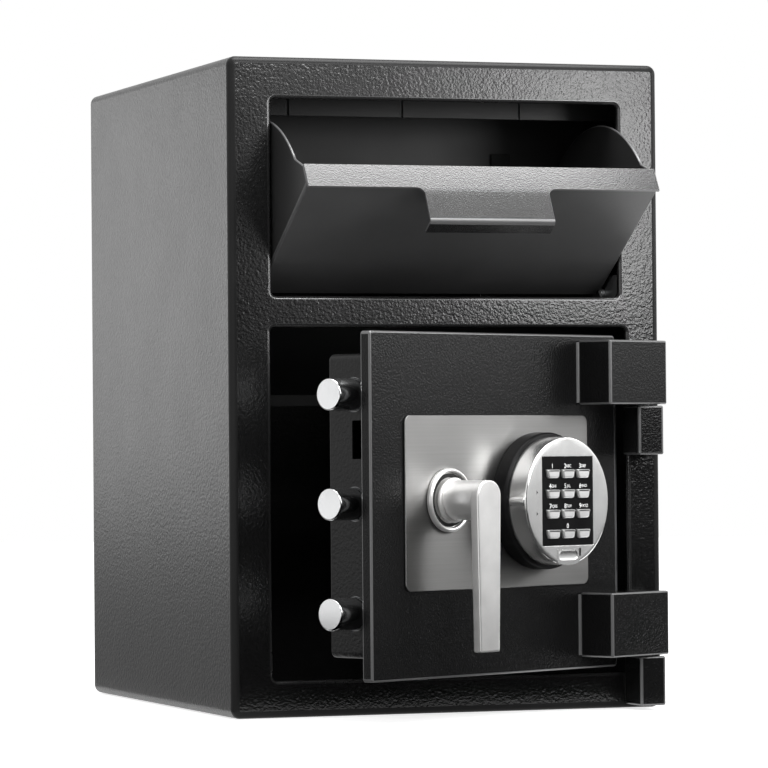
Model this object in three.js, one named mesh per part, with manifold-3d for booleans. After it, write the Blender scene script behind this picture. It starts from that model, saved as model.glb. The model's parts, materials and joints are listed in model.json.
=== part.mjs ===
// Drop safe with a deposit drawer, in millimetres, +Z up, front towards -Y.
// The origin is the centre of the cabinet's underside. The door and the deposit
// drawer stand open, and the locking bolts are thrown.
import * as THREE from 'three';
import { mergeVertices } from 'three/addons/utils/BufferGeometryUtils.js';
import Module from 'manifold-3d';

const wasm = await Module();
wasm.setup();

// Cabinet
const cabinetWidth = 355.6;
const cabinetDepth = 396.2;
const cabinetHeight = 508;
const cabinetCorner = 7;
const cabinetWall = 3;
const frameThickness = 6;
const topRail = 32;
const slotHeight = 152;
const slotStile = 33.8;
const middleRail = 24;
const bottomRail = 28.5;
const latchStile = 32.8;
const hingeStile = 28.3;
const openingCorner = 4;
const anchorInset = 60;
const anchorRadius = 6;

// Deposit drawer, a hopper that tilts about its lower edge
const hopperSetback = 38;
const hopperPivotRise = 4;
const hopperTopGap = 2;
const hopperSideGap = 1.5;
const hopperSheet = 2;
const hopperOpening = 58;
const troughSpread = 110;
const troughDrop = 12;
const lipDepth = 18;
const lipOverhang = 2.5;
const pullWidth = 101;
const pullInset = 5;
const pullDrop = 16;
const pullFillet = 6;
const pivotPinRadius = 4;

// Door
const doorOpening = 28.3;
const doorThickness = 10;
const doorCorner = 2.5;
const doorGapLatch = 2.4;
const doorGapHinge = 7.5;
const doorGapTop = 6.5;
const doorGapBottom = 5;
const middleRise = 1.5;

// Hinges
const pinInset = 21.3;
const hingeDepth = 33;
const knuckleWidth = 21.4;
const hingePinRadius = 5;
const blockLength = 60;
const blockEnd = 10;
const blockHeight = 50;
const upperBlockDrop = 4.5;
const lowerBlockRise = 9.3;
const upperKnuckleHeight = 38.3;
const lowerKnuckleFoot = 3.3;
const hingeGap = 1;

// Boltwork
const boltRadius = 12;
const boltInset = 32;
const boltReach = 15;
const boltTravel = 20;
const boltDepth = 18.5;
const coverInset = 12;
const coverRise = 16.5;
const coverHingeInset = 36.6;
const coverDepth = 44;
const coverSheet = 1.5;
const handleTravel = 60;
const lockLift = 10;

// Handle and keypad
const handleShare = 0.293394;
const keypadShare = 0.655306;
const plateHandleMargin = 47.5;
const plateKeypadMargin = 61.5;
const plateHeight = 131.6;
const plateThickness = 1.5;
const plateCorner = 6;
const spindleSide = 10;
const keypadRadius = 49;
const keypadBaseRadius = 52.5;
const keypadBaseDepth = 13;
const keypadDepth = 33;
const keyColumns = 3;
const keyRows = 4;
const keyPitchAcross = 17.7;
const keyPitchUp = 15.3;

// Fits shared by every piece
const seat = 0.3;
const cutOverrun = 1;

// Angles
const quarter = 90;
const degree = Math.PI / (2 * quarter);

// Facets of round surfaces
const smallRound = 24;
const largeRound = 48;
const cornerSteps = 4;

// Places that follow from the sizes above
const frontY = -cabinetDepth / 2;
const backY = cabinetDepth / 2;
const frameBackY = frontY + frameThickness;
const innerHalf = cabinetWidth / 2 - cabinetWall;
const innerCorner = cabinetCorner - cabinetWall;
const ceiling = cabinetHeight - cabinetWall;
const slotTop = cabinetHeight - topRail;
const slotBottom = slotTop - slotHeight;
const slotHalf = cabinetWidth / 2 - slotStile;
const openingTop = slotBottom - middleRail;
const openingLeft = -cabinetWidth / 2 + latchStile;
const openingRight = cabinetWidth / 2 - hingeStile;

const pivotY = frontY + hopperSetback;
const pivotZ = slotBottom + hopperPivotRise;
const hopperHeight = slotHeight - hopperPivotRise - hopperTopGap;
const hopperHalf = slotHalf - hopperSideGap;
const troughRadius = hopperHeight - troughDrop;
const troughOpenAngle = (troughSpread - hopperOpening) * degree;
const pullReach = hopperSetback - pullInset;

const pinX = cabinetWidth / 2 - pinInset;
const pinY = frontY - hingeDepth / 2;
const doorLeft = openingLeft + doorGapLatch;
const doorRight = openingRight - doorGapHinge;
const doorTop = openingTop - doorGapTop;
const doorBottom = bottomRail + doorGapBottom;
const doorBackY = frontY + doorThickness;
const middleHeight = (doorTop + doorBottom) / 2 + middleRise;

const coverLeft = doorLeft + coverInset;
const coverRight = doorRight - coverHingeInset;
const coverBottom = doorBottom + coverRise;
const coverTop = doorTop - coverRise;
const coverBackY = doorBackY + coverDepth;
const boltAxisY = doorBackY + boltDepth;
const boltPitch = (coverTop - coverBottom) / 2 - boltInset;
const boltTipX = doorLeft - boltReach;
const handleX = doorLeft + (doorRight - doorLeft) * handleShare;
const keypadX = doorLeft + (doorRight - doorLeft) * keypadShare;
const plateFrontY = frontY - seat - plateThickness;

// Outlines
function arc(centreX, centreY, radius, from, to, steps) {
  const points = [];
  for (let i = 0; i <= steps; i += 1) {
    const angle = (from + (to - from) * i / steps) * degree;
    points.push(new THREE.Vector2(centreX + radius * Math.cos(angle), centreY + radius * Math.sin(angle)));
  }
  return points;
}

function circle(centreX, centreY, radius, steps = smallRound) {
  return arc(centreX, centreY, radius, 0, 4 * quarter * (steps - 1) / steps, steps - 1);
}

function rectangle(left, right, low, high) {
  return outline([[left, low], [right, low], [right, high], [left, high]]);
}

function roundedRectangle(left, right, low, high, corner) {
  return [
    ...arc(right - corner, low + corner, corner, -quarter, 0, cornerSteps),
    ...arc(right - corner, high - corner, corner, 0, quarter, cornerSteps),
    ...arc(left + corner, high - corner, corner, quarter, 2 * quarter, cornerSteps),
    ...arc(left + corner, low + corner, corner, 2 * quarter, 3 * quarter, cornerSteps),
  ];
}

function outline(pairs) {
  return pairs.map(([a, b]) => new THREE.Vector2(a, b));
}

// Slabs: an outline pushed along X, Y or Z. The outline is (y, z), (x, z) or (x, y).
function plain(points, depth) {
  return new THREE.ExtrudeGeometry(new THREE.Shape(points), { depth, bevelEnabled: false });
}

function pushed(points, holes, depth) {
  const slab = plain(points, depth);
  if (holes.length === 0) return slab;
  return cut(slab, ...holes.map((hole) => plain(hole, depth + 2 * cutOverrun).translate(0, 0, -cutOverrun)));
}

const alongX = new THREE.Matrix4().makeBasis(
  new THREE.Vector3(0, 1, 0), new THREE.Vector3(0, 0, 1), new THREE.Vector3(1, 0, 0));
const alongY = new THREE.Matrix4().makeBasis(
  new THREE.Vector3(1, 0, 0), new THREE.Vector3(0, 0, 1), new THREE.Vector3(0, -1, 0));

function slabX(points, from, to, holes = []) {
  return pushed(points, holes, to - from).applyMatrix4(alongX).translate(from, 0, 0);
}

function slabY(points, from, to, holes = []) {
  return pushed(points, holes, to - from).applyMatrix4(alongY).translate(0, to, 0);
}

function slabZ(points, from, to, holes = []) {
  return pushed(points, holes, to - from).translate(0, 0, from);
}

// A profile of [radius, distance out from the door] turned about an axis square to the door
function turned(profile, x, z, steps) {
  const points = outline(profile);
  return new THREE.LatheGeometry(points, steps).rotateX(Math.PI).translate(x, 0, z);
}

// Joins and cuts
function solidOf(geometry) {
  const bare = geometry.clone();
  bare.deleteAttribute('normal');
  bare.deleteAttribute('uv');
  const merged = mergeVertices(bare);
  const corners = merged.index.array;
  const kept = [];
  for (let i = 0; i < corners.length; i += 3) {
    const [a, b, c] = [corners[i], corners[i + 1], corners[i + 2]];
    if (a !== b && b !== c && c !== a) kept.push(a, b, c);
  }
  return new wasm.Manifold(new wasm.Mesh({
    numProp: 3,
    vertProperties: new Float32Array(merged.attributes.position.array),
    triVerts: new Uint32Array(kept),
  }));
}

function geometryOf(solid) {
  const mesh = solid.getMesh();
  const geometry = new THREE.BufferGeometry();
  geometry.setAttribute('position', new THREE.BufferAttribute(new Float32Array(mesh.vertProperties), 3));
  geometry.setIndex(new THREE.BufferAttribute(new Uint32Array(mesh.triVerts), 1));
  geometry.computeVertexNormals();
  return geometry;
}

function join(...geometries) {
  return geometryOf(geometries.map(solidOf).reduce((whole, next) => whole.add(next)));
}

function cut(base, ...tools) {
  return geometryOf(tools.map(solidOf).reduce((whole, tool) => whole.subtract(tool), solidOf(base)));
}

function common(first, second) {
  return geometryOf(solidOf(first).intersect(solidOf(second)));
}

// Finishes
const finishes = {
  textured_black: { color: 0x17171a, roughness: 0.55, metalness: 0.2 },
  satin_black: { color: 0x1c1c1f, roughness: 0.4, metalness: 0.2 },
  brushed_stainless: { color: 0xb4b3b0, roughness: 0.35, metalness: 1 },
  satin_nickel: { color: 0xcfcdc8, roughness: 0.25, metalness: 1 },
  bright_zinc: { color: 0xd9dadc, roughness: 0.2, metalness: 1 },
  plain_steel: { color: 0x9a9c9e, roughness: 0.45, metalness: 0.9 },
  silver_housing: { color: 0xbfbfbd, roughness: 0.3, metalness: 0.8 },
  silver_key: { color: 0xd2d2cf, roughness: 0.3, metalness: 0.6 },
  black_plastic: { color: 0x0c0c0d, roughness: 0.45, metalness: 0 },
  black_rubber: { color: 0x121212, roughness: 0.85, metalness: 0 },
};

function piece(name, finish, geometry) {
  const mesh = new THREE.Mesh(geometry, new THREE.MeshStandardMaterial(finishes[finish]));
  mesh.name = name;
  return mesh;
}

// Cabinet shell
function bodyWrap() {
  const half = cabinetWidth / 2;
  const outer = roundedRectangle(-half, half, 0, cabinetHeight, cabinetCorner);
  const inner = roundedRectangle(-innerHalf, innerHalf, cabinetWall, ceiling, innerCorner);
  const tube = slabY(outer, frameBackY, backY, [inner]);
  const holes = [];
  for (const x of [-half + anchorInset, half - anchorInset]) {
    for (const y of [frontY + anchorInset, backY - anchorInset]) {
      holes.push(slabZ(circle(x, y, anchorRadius), -cutOverrun, cabinetWall + cutOverrun));
    }
  }
  return piece('body_wrap', 'textured_black', cut(tube, ...holes));
}

function frontFrame() {
  const half = cabinetWidth / 2;
  const outer = roundedRectangle(-half, half, 0, cabinetHeight, cabinetCorner);
  const slot = roundedRectangle(-slotHalf, slotHalf, slotBottom, slotTop, openingCorner);
  const doorway = roundedRectangle(openingLeft, openingRight, bottomRail, openingTop, openingCorner);
  return piece('front_frame', 'textured_black', slabY(outer, frontY, frameBackY, [slot, doorway]));
}

function backPanel() {
  const half = innerHalf - seat;
  const face = roundedRectangle(-half, half, cabinetWall + seat, ceiling - seat, innerCorner - seat);
  return piece('back_panel', 'textured_black', slabY(face, backY - cabinetWall, backY));
}

// Chute that leads the deposits over the vault, and the baffles that keep hands out
const chuteSheet = 2;
const chuteDrop = 11;
const chuteFlange = 11;
const chuteReach = 175;
const chuteSlope = 20;
const baffleClearance = 4.7;
const toothClearance = 8;
const toothPitch = 24.9;
const toothDepth = 10;
const lintelClearance = 5.6;
const lintelGap = 6;
const lintelSheet = 3;
const lintelFlange = 20;
const baffleY = pivotY + troughRadius * Math.sin(troughOpenAngle) + baffleClearance;
const baffleLow = pivotZ + Math.sqrt(troughRadius ** 2 - (baffleY - pivotY) ** 2) + toothClearance;

function chuteFloor() {
  const near = frameBackY + seat;
  const far = frontY + chuteReach;
  const top = slotBottom - chuteDrop;
  const fall = Math.tan(chuteSlope * degree);
  const under = chuteSheet / Math.cos(chuteSlope * degree);
  const farTop = top - (far - near) * fall;
  const section = outline([
    [near, top - chuteFlange],
    [near, top],
    [far, farTop],
    [far, farTop - chuteFlange],
    [far - chuteSheet, farTop - chuteFlange],
    [far - chuteSheet, farTop + chuteSheet * fall - under],
    [near + chuteSheet, top - chuteSheet * fall - under],
    [near + chuteSheet, top - chuteFlange],
  ]);
  const half = innerHalf - seat;
  return piece('chute_floor', 'satin_black', slabX(section, -half, half));
}

function chuteBaffle() {
  const half = innerHalf - seat;
  const high = ceiling - seat;
  const edge = [
    [half, high - innerCorner], [half - innerCorner, high],
    [innerCorner - half, high], [-half, high - innerCorner],
  ];
  const count = Math.round(2 * half / toothPitch);
  const step = 2 * half / count;
  for (let i = 0; i < count; i += 1) {
    const left = -half + i * step;
    edge.push([left, baffleLow + toothDepth], [left + step / 2, baffleLow]);
  }
  edge.push([half, baffleLow + toothDepth]);
  return piece('chute_baffle', 'satin_black', slabY(outline(edge), baffleY, baffleY + chuteSheet));
}

function lintelBar() {
  const near = pivotY + lipDepth + lintelGap;
  const low = pivotZ + troughRadius + lintelClearance;
  const high = ceiling - seat;
  const section = outline([
    [near, low],
    [near + lintelSheet, low],
    [near + lintelSheet, high - lintelSheet],
    [near + lintelFlange, high - lintelSheet],
    [near + lintelFlange, high],
    [near, high],
  ]);
  const half = innerHalf - innerCorner;
  return piece('lintel_bar', 'satin_black', slabX(section, -half, half));
}

// Brackets that carry the hopper's pivot pins on the back of the front frame
const bracketSheet = 3;
const bracketGap = 2;
const bracketRise = 14;
const bracketReach = 14;
const bracketFoot = 18;

function hopperBracket(name, side) {
  const inside = slotHalf + bracketGap;
  const near = frameBackY + seat;
  const cheek = rectangle(near, pivotY + bracketReach, pivotZ - bracketRise, pivotZ + bracketRise);
  const hole = circle(pivotY, pivotZ, pivotPinRadius + seat);
  const foot = rectangle(inside, inside + bracketFoot, pivotZ - bracketRise, pivotZ + bracketRise);
  const right = join(
    slabX(cheek, inside, inside + bracketSheet, [hole]),
    slabY(foot, near, near + bracketSheet),
  );
  return piece(name, 'plain_steel', side > 0 ? right : mirrored(right));
}

function mirrored(geometry) {
  const flipped = geometry.clone().scale(-1, 1, 1);
  const corners = flipped.index.array;
  for (let i = 0; i < corners.length; i += 3) [corners[i], corners[i + 1]] = [corners[i + 1], corners[i]];
  return flipped;
}

// Rubber stops under the baffle that the trough's back plate meets when the drawer is open
const stopWidth = 16;
const stopInset = 42.5;
const stopThickness = 4;
const stopEdge = 4;
const stopLength = 14;
const stopArm = 3;
const stopHeight = 24;

function troughStop(name, side) {
  const along = [Math.sin(troughOpenAngle), Math.cos(troughOpenAngle)];
  const off = [-Math.cos(troughOpenAngle), Math.sin(troughOpenAngle)];
  const place = (reach, lift) => [
    pivotY + along[0] * reach + off[0] * lift,
    pivotZ + along[1] * reach + off[1] * lift,
  ];
  const outerReach = troughRadius - stopEdge;
  const wall = baffleY - seat;
  const corner = place(outerReach, seat);
  const section = outline([
    place(outerReach - stopLength, seat),
    corner,
    [wall, corner[1] + (wall - corner[0])],
    [wall, baffleLow + toothDepth + stopHeight],
    [wall - stopArm, baffleLow + toothDepth + stopHeight],
    [wall - stopArm, place(outerReach, seat + stopThickness)[1] + stopThickness],
    place(outerReach - stopLength, seat + stopThickness),
  ]);
  const middle = side * (hopperHalf - stopInset);
  return piece(name, 'black_rubber', slabX(section, middle - stopWidth / 2, middle + stopWidth / 2));
}

// Hinge halves that are welded to the front frame, and their pins
const knuckleFloor = 5;
const pinEngagement = 40;
const lowerBlockBottom = doorBottom + lowerBlockRise;
const upperBlockBottom = doorTop - upperBlockDrop - blockHeight;

function knuckle(name, low, high) {
  const half = knuckleWidth / 2;
  const face = rectangle(pinX - half, pinX + half, frontY - hingeDepth, frontY - seat);
  const bore = slabZ(circle(pinX, pinY, hingePinRadius + seat), low + knuckleFloor, high + cutOverrun);
  return piece(name, 'textured_black', cut(slabZ(face, low, high), bore));
}

function hingePin(name, low, high) {
  return piece(name, 'plain_steel', slabZ(circle(pinX, pinY, hingePinRadius), low, high));
}

const upperKnuckleTop = upperBlockBottom - hingeGap;
const upperKnuckleBottom = upperKnuckleTop - upperKnuckleHeight;
const lowerKnuckleTop = lowerBlockBottom - hingeGap;

const cabinet = new THREE.Group();
cabinet.add(
  bodyWrap(),
  frontFrame(),
  backPanel(),
  chuteFloor(),
  chuteBaffle(),
  lintelBar(),
  hopperBracket('hopper_bracket_left', -1),
  hopperBracket('hopper_bracket_right', 1),
  troughStop('trough_stop_left', -1),
  troughStop('trough_stop_right', 1),
  knuckle('hinge_knuckle_upper', upperKnuckleBottom, upperKnuckleTop),
  knuckle('hinge_knuckle_lower', lowerKnuckleFoot, lowerKnuckleTop),
  hingePin('hinge_pin_upper', upperKnuckleBottom + knuckleFloor + seat, upperBlockBottom + pinEngagement),
  hingePin('hinge_pin_lower', lowerKnuckleFoot + knuckleFloor + seat, lowerBlockBottom + pinEngagement),
);

// Deposit drawer, drawn shut about its pivot and then tilted open
const earReach = 8;
const earRise = 4.5;

function hopperPanel() {
  const top = hopperHeight - hopperSheet - seat;
  const foot = hopperHalf - hopperSheet - seat;
  const ear = earRise + seat;
  const face = outline([
    [-foot, -hopperSheet], [foot, -hopperSheet], [foot, ear], [hopperHalf, ear],
    [hopperHalf, top], [-hopperHalf, top], [-hopperHalf, ear], [-foot, ear],
  ]);
  return piece('hopper_panel', 'satin_black', slabY(face, 0, hopperSheet));
}

function hopperCap() {
  const half = pullWidth / 2;
  const edge = -lipOverhang;
  const plan = [
    ...outline([[-hopperHalf, lipDepth], [-hopperHalf, edge]]),
    ...arc(-half - pullFillet, edge - pullFillet, pullFillet, quarter, 0, cornerSteps),
    ...outline([[-half, -pullReach], [half, -pullReach]]),
    ...arc(half + pullFillet, edge - pullFillet, pullFillet, 2 * quarter, quarter, cornerSteps),
    ...outline([[hopperHalf, edge], [hopperHalf, lipDepth]]),
  ];
  const grip = rectangle(-half, half, hopperHeight - pullDrop, hopperHeight);
  return piece('hopper_cap', 'satin_black', join(
    slabZ(plan, hopperHeight - hopperSheet, hopperHeight),
    slabY(grip, -pullReach, -pullReach + hopperSheet),
  ));
}

const sideShoulder = 16;

function hopperSide(name, side) {
  const top = hopperHeight - hopperSheet - seat;
  const near = hopperSheet + seat;
  const start = Math.acos((lipDepth + sideShoulder) / troughRadius) / degree;
  const section = [
    ...outline([[-earReach, -earReach], [-earReach, earRise], [near, earRise], [near, top], [lipDepth, top]]),
    ...arc(0, 0, troughRadius, start, quarter - troughSpread, smallRound),
  ];
  const plate = slabX(section, hopperHalf - hopperSheet, hopperHalf);
  const pin = slabX(circle(0, 0, pivotPinRadius), hopperHalf - hopperSheet / 2,
    slotHalf + bracketGap + bracketSheet + seat);
  const right = join(plate, pin);
  return piece(name, 'satin_black', side > 0 ? right : mirrored(right));
}

function troughPlate() {
  const half = hopperHalf - hopperSheet - seat;
  const end = (quarter - troughSpread) * degree;
  const along = [Math.cos(end), Math.sin(end)];
  const off = [along[1], -along[0]];
  const root = hopperSheet + seat * 2 + pivotPinRadius;
  const place = (reach, lift) => [along[0] * reach + off[0] * lift, along[1] * reach + off[1] * lift];
  const section = outline([
    place(root, 0),
    place(troughRadius, 0),
    place(troughRadius, hopperSheet),
    place(root, hopperSheet),
  ]);
  return piece('trough_plate', 'satin_black', slabX(section, -half, half));
}

const hopper = new THREE.Group();
hopper.position.set(0, pivotY, pivotZ);
hopper.rotation.x = hopperOpening * degree;
hopper.add(
  hopperPanel(),
  hopperCap(),
  hopperSide('hopper_side_left', -1),
  hopperSide('hopper_side_right', 1),
  troughPlate(),
);

// Door leaf and what is fixed to it, drawn shut in the cabinet's own frame
const spindleHole = spindleSide / Math.SQRT2 + seat;
const cableRadius = 2;
const cableHole = cableRadius + seat;
const cableDrop = 5;
const cableZ = middleHeight - cableDrop;

function doorPlate() {
  const face = roundedRectangle(doorLeft, doorRight, doorBottom, doorTop, doorCorner);
  const holes = [circle(handleX, middleHeight, spindleHole), circle(keypadX, cableZ, cableHole)];
  return piece('door_plate', 'textured_black', slabY(face, frontY, doorBackY, holes));
}

const coverCorner = 5;
const coverSlotLow = 31.5;
const coverSlotHigh = 60.3;
const coverSlotNear = 6;
const coverSlotFar = 19.5;
const boltHoleGap = 1.2;

function boltHeights() {
  return [middleHeight - boltPitch, middleHeight, middleHeight + boltPitch];
}

function boltworkCover() {
  const near = doorBackY + seat;
  const outer = roundedRectangle(coverLeft, coverRight, coverBottom, coverTop, coverCorner);
  const inner = roundedRectangle(
    coverLeft + coverSheet, coverRight - coverSheet,
    coverBottom + coverSheet, coverTop - coverSheet, coverCorner - coverSheet);
  const tools = [slabY(inner, near - cutOverrun, coverBackY - coverSheet)];
  const wallFrom = coverLeft - cutOverrun;
  const wallTo = coverLeft + coverSheet + cutOverrun;
  for (const height of boltHeights()) {
    tools.push(slabX(circle(boltAxisY, height, boltRadius + boltHoleGap), wallFrom, wallTo));
  }
  tools.push(slabX(rectangle(
    doorBackY + coverSlotNear, doorBackY + coverSlotFar,
    middleHeight + coverSlotLow, middleHeight + coverSlotHigh), wallFrom, wallTo));
  return piece('boltwork_cover', 'textured_black', cut(slabY(outer, near, coverBackY), ...tools));
}

const blockRound = 15.9;

function hingeBlock(name, low) {
  const right = pinX + blockEnd;
  const left = pinX - blockLength;
  const near = frontY - seat;
  const turn = Math.acos(blockEnd / blockRound) / degree;
  const face = [
    ...outline([[left, near], [left, frontY - hingeDepth], [right, frontY - hingeDepth]]),
    ...arc(pinX, pinY, blockRound, turn, quarter, cornerSteps),
    ...outline([[pinX - seat, near]]),
  ];
  const bore = slabZ(circle(pinX, pinY, hingePinRadius + seat), low - cutOverrun, low + pinEngagement + seat);
  return piece(name, 'textured_black', cut(slabZ(face, low, low + blockHeight), bore));
}

function escutcheonPlate() {
  const left = handleX - plateHandleMargin;
  const right = keypadX + plateKeypadMargin;
  const low = middleHeight - plateHeight / 2;
  const face = roundedRectangle(left, right, low, low + plateHeight, plateCorner);
  const holes = [circle(handleX, middleHeight, spindleHole), circle(keypadX, cableZ, cableHole)];
  return piece('escutcheon_plate', 'brushed_stainless', slabY(face, plateFrontY, frontY - seat, holes));
}

const collarRadius = 24.2;
const collarDepth = 4;
const collarBevel = 1.5;
const collarFrontY = plateFrontY - seat - collarDepth;

function handleCollar() {
  const back = -(plateFrontY - seat);
  const front = -collarFrontY;
  const profile = [
    [spindleHole, back],
    [collarRadius, back],
    [collarRadius, front - collarBevel],
    [collarRadius - collarBevel, front],
    [spindleHole, front],
    [spindleHole, back],
  ];
  return piece('handle_collar', 'satin_nickel', turned(profile, handleX, middleHeight, largeRound));
}

// Keypad: a black base, a silver housing, a black panel with twelve keys, and a battery drawer
const panelWidth = 59.5;
const panelHeight = 67.7;
const panelThickness = 2;
const housingBevel = 1.5;
const ribHeight = 6.6;
const ribProud = 1.2;
const ribMargin = 1.5;
const keyWidth = 15;
const keyFoot = 13;
const keyHeight = 6.6;
const keyProud = 1.8;
const keyDepth = 2.8;
const keyDrop = 2.2;
const drawerWidth = 30;
const drawerLength = 46;
const drawerBack = 17;
const drawerFront = 29.4;
const tabWidth = 24.5;
const tabHeight = 11.5;
const baseBackY = plateFrontY - seat;
const baseFrontY = baseBackY - keypadBaseDepth;
const housingBackY = baseFrontY - seat;
const housingFrontY = frontY - keypadDepth;

function keypadBase() {
  const face = circle(keypadX, middleHeight, keypadBaseRadius, largeRound);
  const hole = circle(keypadX, cableZ, cableHole);
  return piece('keypad_base', 'black_plastic', slabY(face, baseFrontY, baseBackY, [hole]));
}

function drawerTray(grow, overrun) {
  const half = drawerWidth / 2 + grow;
  const low = middleHeight - keypadRadius;
  return slabY(rectangle(keypadX - half, keypadX + half, low - overrun, low + drawerLength + grow),
    frontY - drawerFront - grow, frontY - drawerBack + grow);
}

function drawerTab(grow, overrun) {
  const half = tabWidth / 2 + grow;
  const low = middleHeight - keypadRadius;
  return slabY(rectangle(keypadX - half, keypadX + half, low - overrun, low + tabHeight + grow),
    housingFrontY - overrun, frontY - drawerFront + seat);
}

function keypadHousing() {
  const profile = [
    [0, -housingBackY],
    [keypadRadius, -housingBackY],
    [keypadRadius, -housingFrontY - housingBevel],
    [keypadRadius - housingBevel, -housingFrontY],
    [0, -housingFrontY],
  ];
  const drum = turned(profile, keypadX, middleHeight, largeRound);
  const rib = slabX(
    rectangle(housingFrontY + ribMargin, housingBackY - ribMargin,
      middleHeight - ribHeight / 2, middleHeight + ribHeight / 2),
    keypadX - keypadRadius - ribProud, keypadX - keypadRadius + housingBevel);
  const recess = slabY(rectangle(
    keypadX - panelWidth / 2 - seat, keypadX + panelWidth / 2 + seat,
    middleHeight - panelHeight / 2 - seat, middleHeight + panelHeight / 2 + seat),
    housingFrontY - cutOverrun, housingFrontY + panelThickness + seat);
  const shell = cut(join(drum, rib), recess, drawerTray(seat, cutOverrun), drawerTab(seat, cutOverrun));
  return piece('keypad_housing', 'silver_housing', shell);
}

function keyPlaces() {
  const places = [];
  for (let row = 0; row < keyRows; row += 1) {
    for (let column = 0; column < keyColumns; column += 1) {
      places.push([
        keypadX + (column - (keyColumns - 1) / 2) * keyPitchAcross,
        middleHeight - keyDrop - (row - (keyRows - 1) / 2) * keyPitchUp,
      ]);
    }
  }
  return places;
}

function keyOutline(x, z, grow) {
  const top = keyWidth / 2 + grow;
  const foot = keyFoot / 2 + grow;
  const half = keyHeight / 2 + grow;
  return outline([[x - foot, z - half], [x + foot, z - half], [x + top, z + half], [x - top, z + half]]);
}

function keypadPanel() {
  const face = rectangle(
    keypadX - panelWidth / 2, keypadX + panelWidth / 2,
    middleHeight - panelHeight / 2, middleHeight + panelHeight / 2);
  const holes = keyPlaces().map(([x, z]) => keyOutline(x, z, seat));
  return piece('keypad_panel', 'black_plastic',
    slabY(face, housingFrontY, housingFrontY + panelThickness, holes));
}

const keyNames = ['1', '2', '3', '4', '5', '6', '7', '8', '9', 'left', '0', 'right'];

function keys() {
  const front = housingFrontY - keyProud;
  return keyPlaces().map(([x, z], i) => piece(`key_${keyNames[i]}`, 'silver_key',
    slabY(keyOutline(x, z, 0), front, front + keyDepth)));
}

function batteryDrawer() {
  const drum = slabY(circle(keypadX, middleHeight, keypadRadius, largeRound), housingFrontY, housingBackY);
  return piece('battery_drawer', 'silver_housing', common(join(drawerTray(0, 0), drawerTab(0, 0)), drum));
}

// Lock, hard plate, bolt guides and the bar behind the hinge stile
const guideLength = 15;
const guideHalf = 16;
const guideDepth = 34;
const deadBarInset = 12;
const deadBarReach = 14;
const deadBarLap = 30;
const deadBarThickness = 8;
const boltFit = 0.3;
const hardPlateHalf = 36;
const hardPlateLow = 25;
const hardPlateLap = 8;
const hardPlateThickness = 5;
const lockHalf = 30.5;
const lockLow = 25;
const lockMargin = 15;
const lockThickness = 30;
const noseWidth = 18;
const noseThickness = 10;
const noseTopShare = 0.347222;
const noseGap = 0.4;
const webSetback = 25.1;
const webThickness = 4;
const notchDepth = 20;
const notchRoom = 1;
const armTop = 21;
const rampSlope = lockLift / boltTravel;
const webNearY = doorBackY + webSetback;
const webMiddleY = webNearY + webThickness / 2;
const noseRight = keypadX + noseWidth / 2;
const notchBottom = middleHeight + armTop - notchDepth;
const notchRight = noseRight + notchRoom;
const noseBottom = notchBottom + (notchRight - noseRight) * rampSlope + noseGap;
const lockHigh = coverTop - middleHeight - lockMargin;
const noseTop = lockLow + (lockHigh - lockLow) * noseTopShare;
const lockNearY = doorBackY + seat + hardPlateThickness + seat;

function boltGuide(name, height) {
  const near = doorBackY + seat;
  const left = coverLeft + coverSheet + seat;
  const face = rectangle(near, near + guideDepth, height - guideHalf, height + guideHalf);
  const bore = circle(boltAxisY, height, boltRadius + boltFit, largeRound);
  return piece(name, 'plain_steel', slabX(face, left, left + guideLength, [bore]));
}

function deadBar() {
  const near = doorBackY + seat;
  const face = rectangle(
    doorRight - deadBarLap, doorRight + deadBarReach,
    doorBottom + deadBarInset, doorTop - deadBarInset);
  return piece('dead_bar', 'plain_steel', slabY(face, near, near + deadBarThickness));
}

function hardPlate() {
  const near = doorBackY + seat;
  const face = rectangle(keypadX - hardPlateHalf, keypadX + hardPlateHalf,
    middleHeight - hardPlateLow, middleHeight + lockHigh + hardPlateLap);
  const hole = circle(keypadX, cableZ, cableHole);
  return piece('hard_plate', 'plain_steel', slabY(face, near, near + hardPlateThickness, [hole]));
}

function lockCase() {
  const face = rectangle(
    keypadX - lockHalf, keypadX + lockHalf,
    middleHeight + lockLow, middleHeight + lockHigh);
  const half = noseWidth / 2 + seat;
  const channel = slabY(rectangle(keypadX - half, keypadX + half,
    middleHeight + lockLow - cutOverrun, middleHeight + noseTop + lockLift + cutOverrun),
    webMiddleY - noseThickness / 2 - seat, webMiddleY + noseThickness / 2 + seat);
  return piece('lock_case', 'plain_steel', cut(slabY(face, lockNearY, lockNearY + lockThickness), channel));
}

function lockBolt() {
  const left = keypadX - noseWidth / 2;
  const face = outline([
    [left, noseBottom + noseWidth * rampSlope],
    [noseRight, noseBottom],
    [noseRight, middleHeight + noseTop],
    [left, middleHeight + noseTop],
  ]);
  return piece('lock_bolt', 'bright_zinc',
    slabY(face, webMiddleY - noseThickness / 2, webMiddleY + noseThickness / 2));
}

const cableBend = 12;
const cableSides = 8;
const cableSteps = 16;

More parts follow.
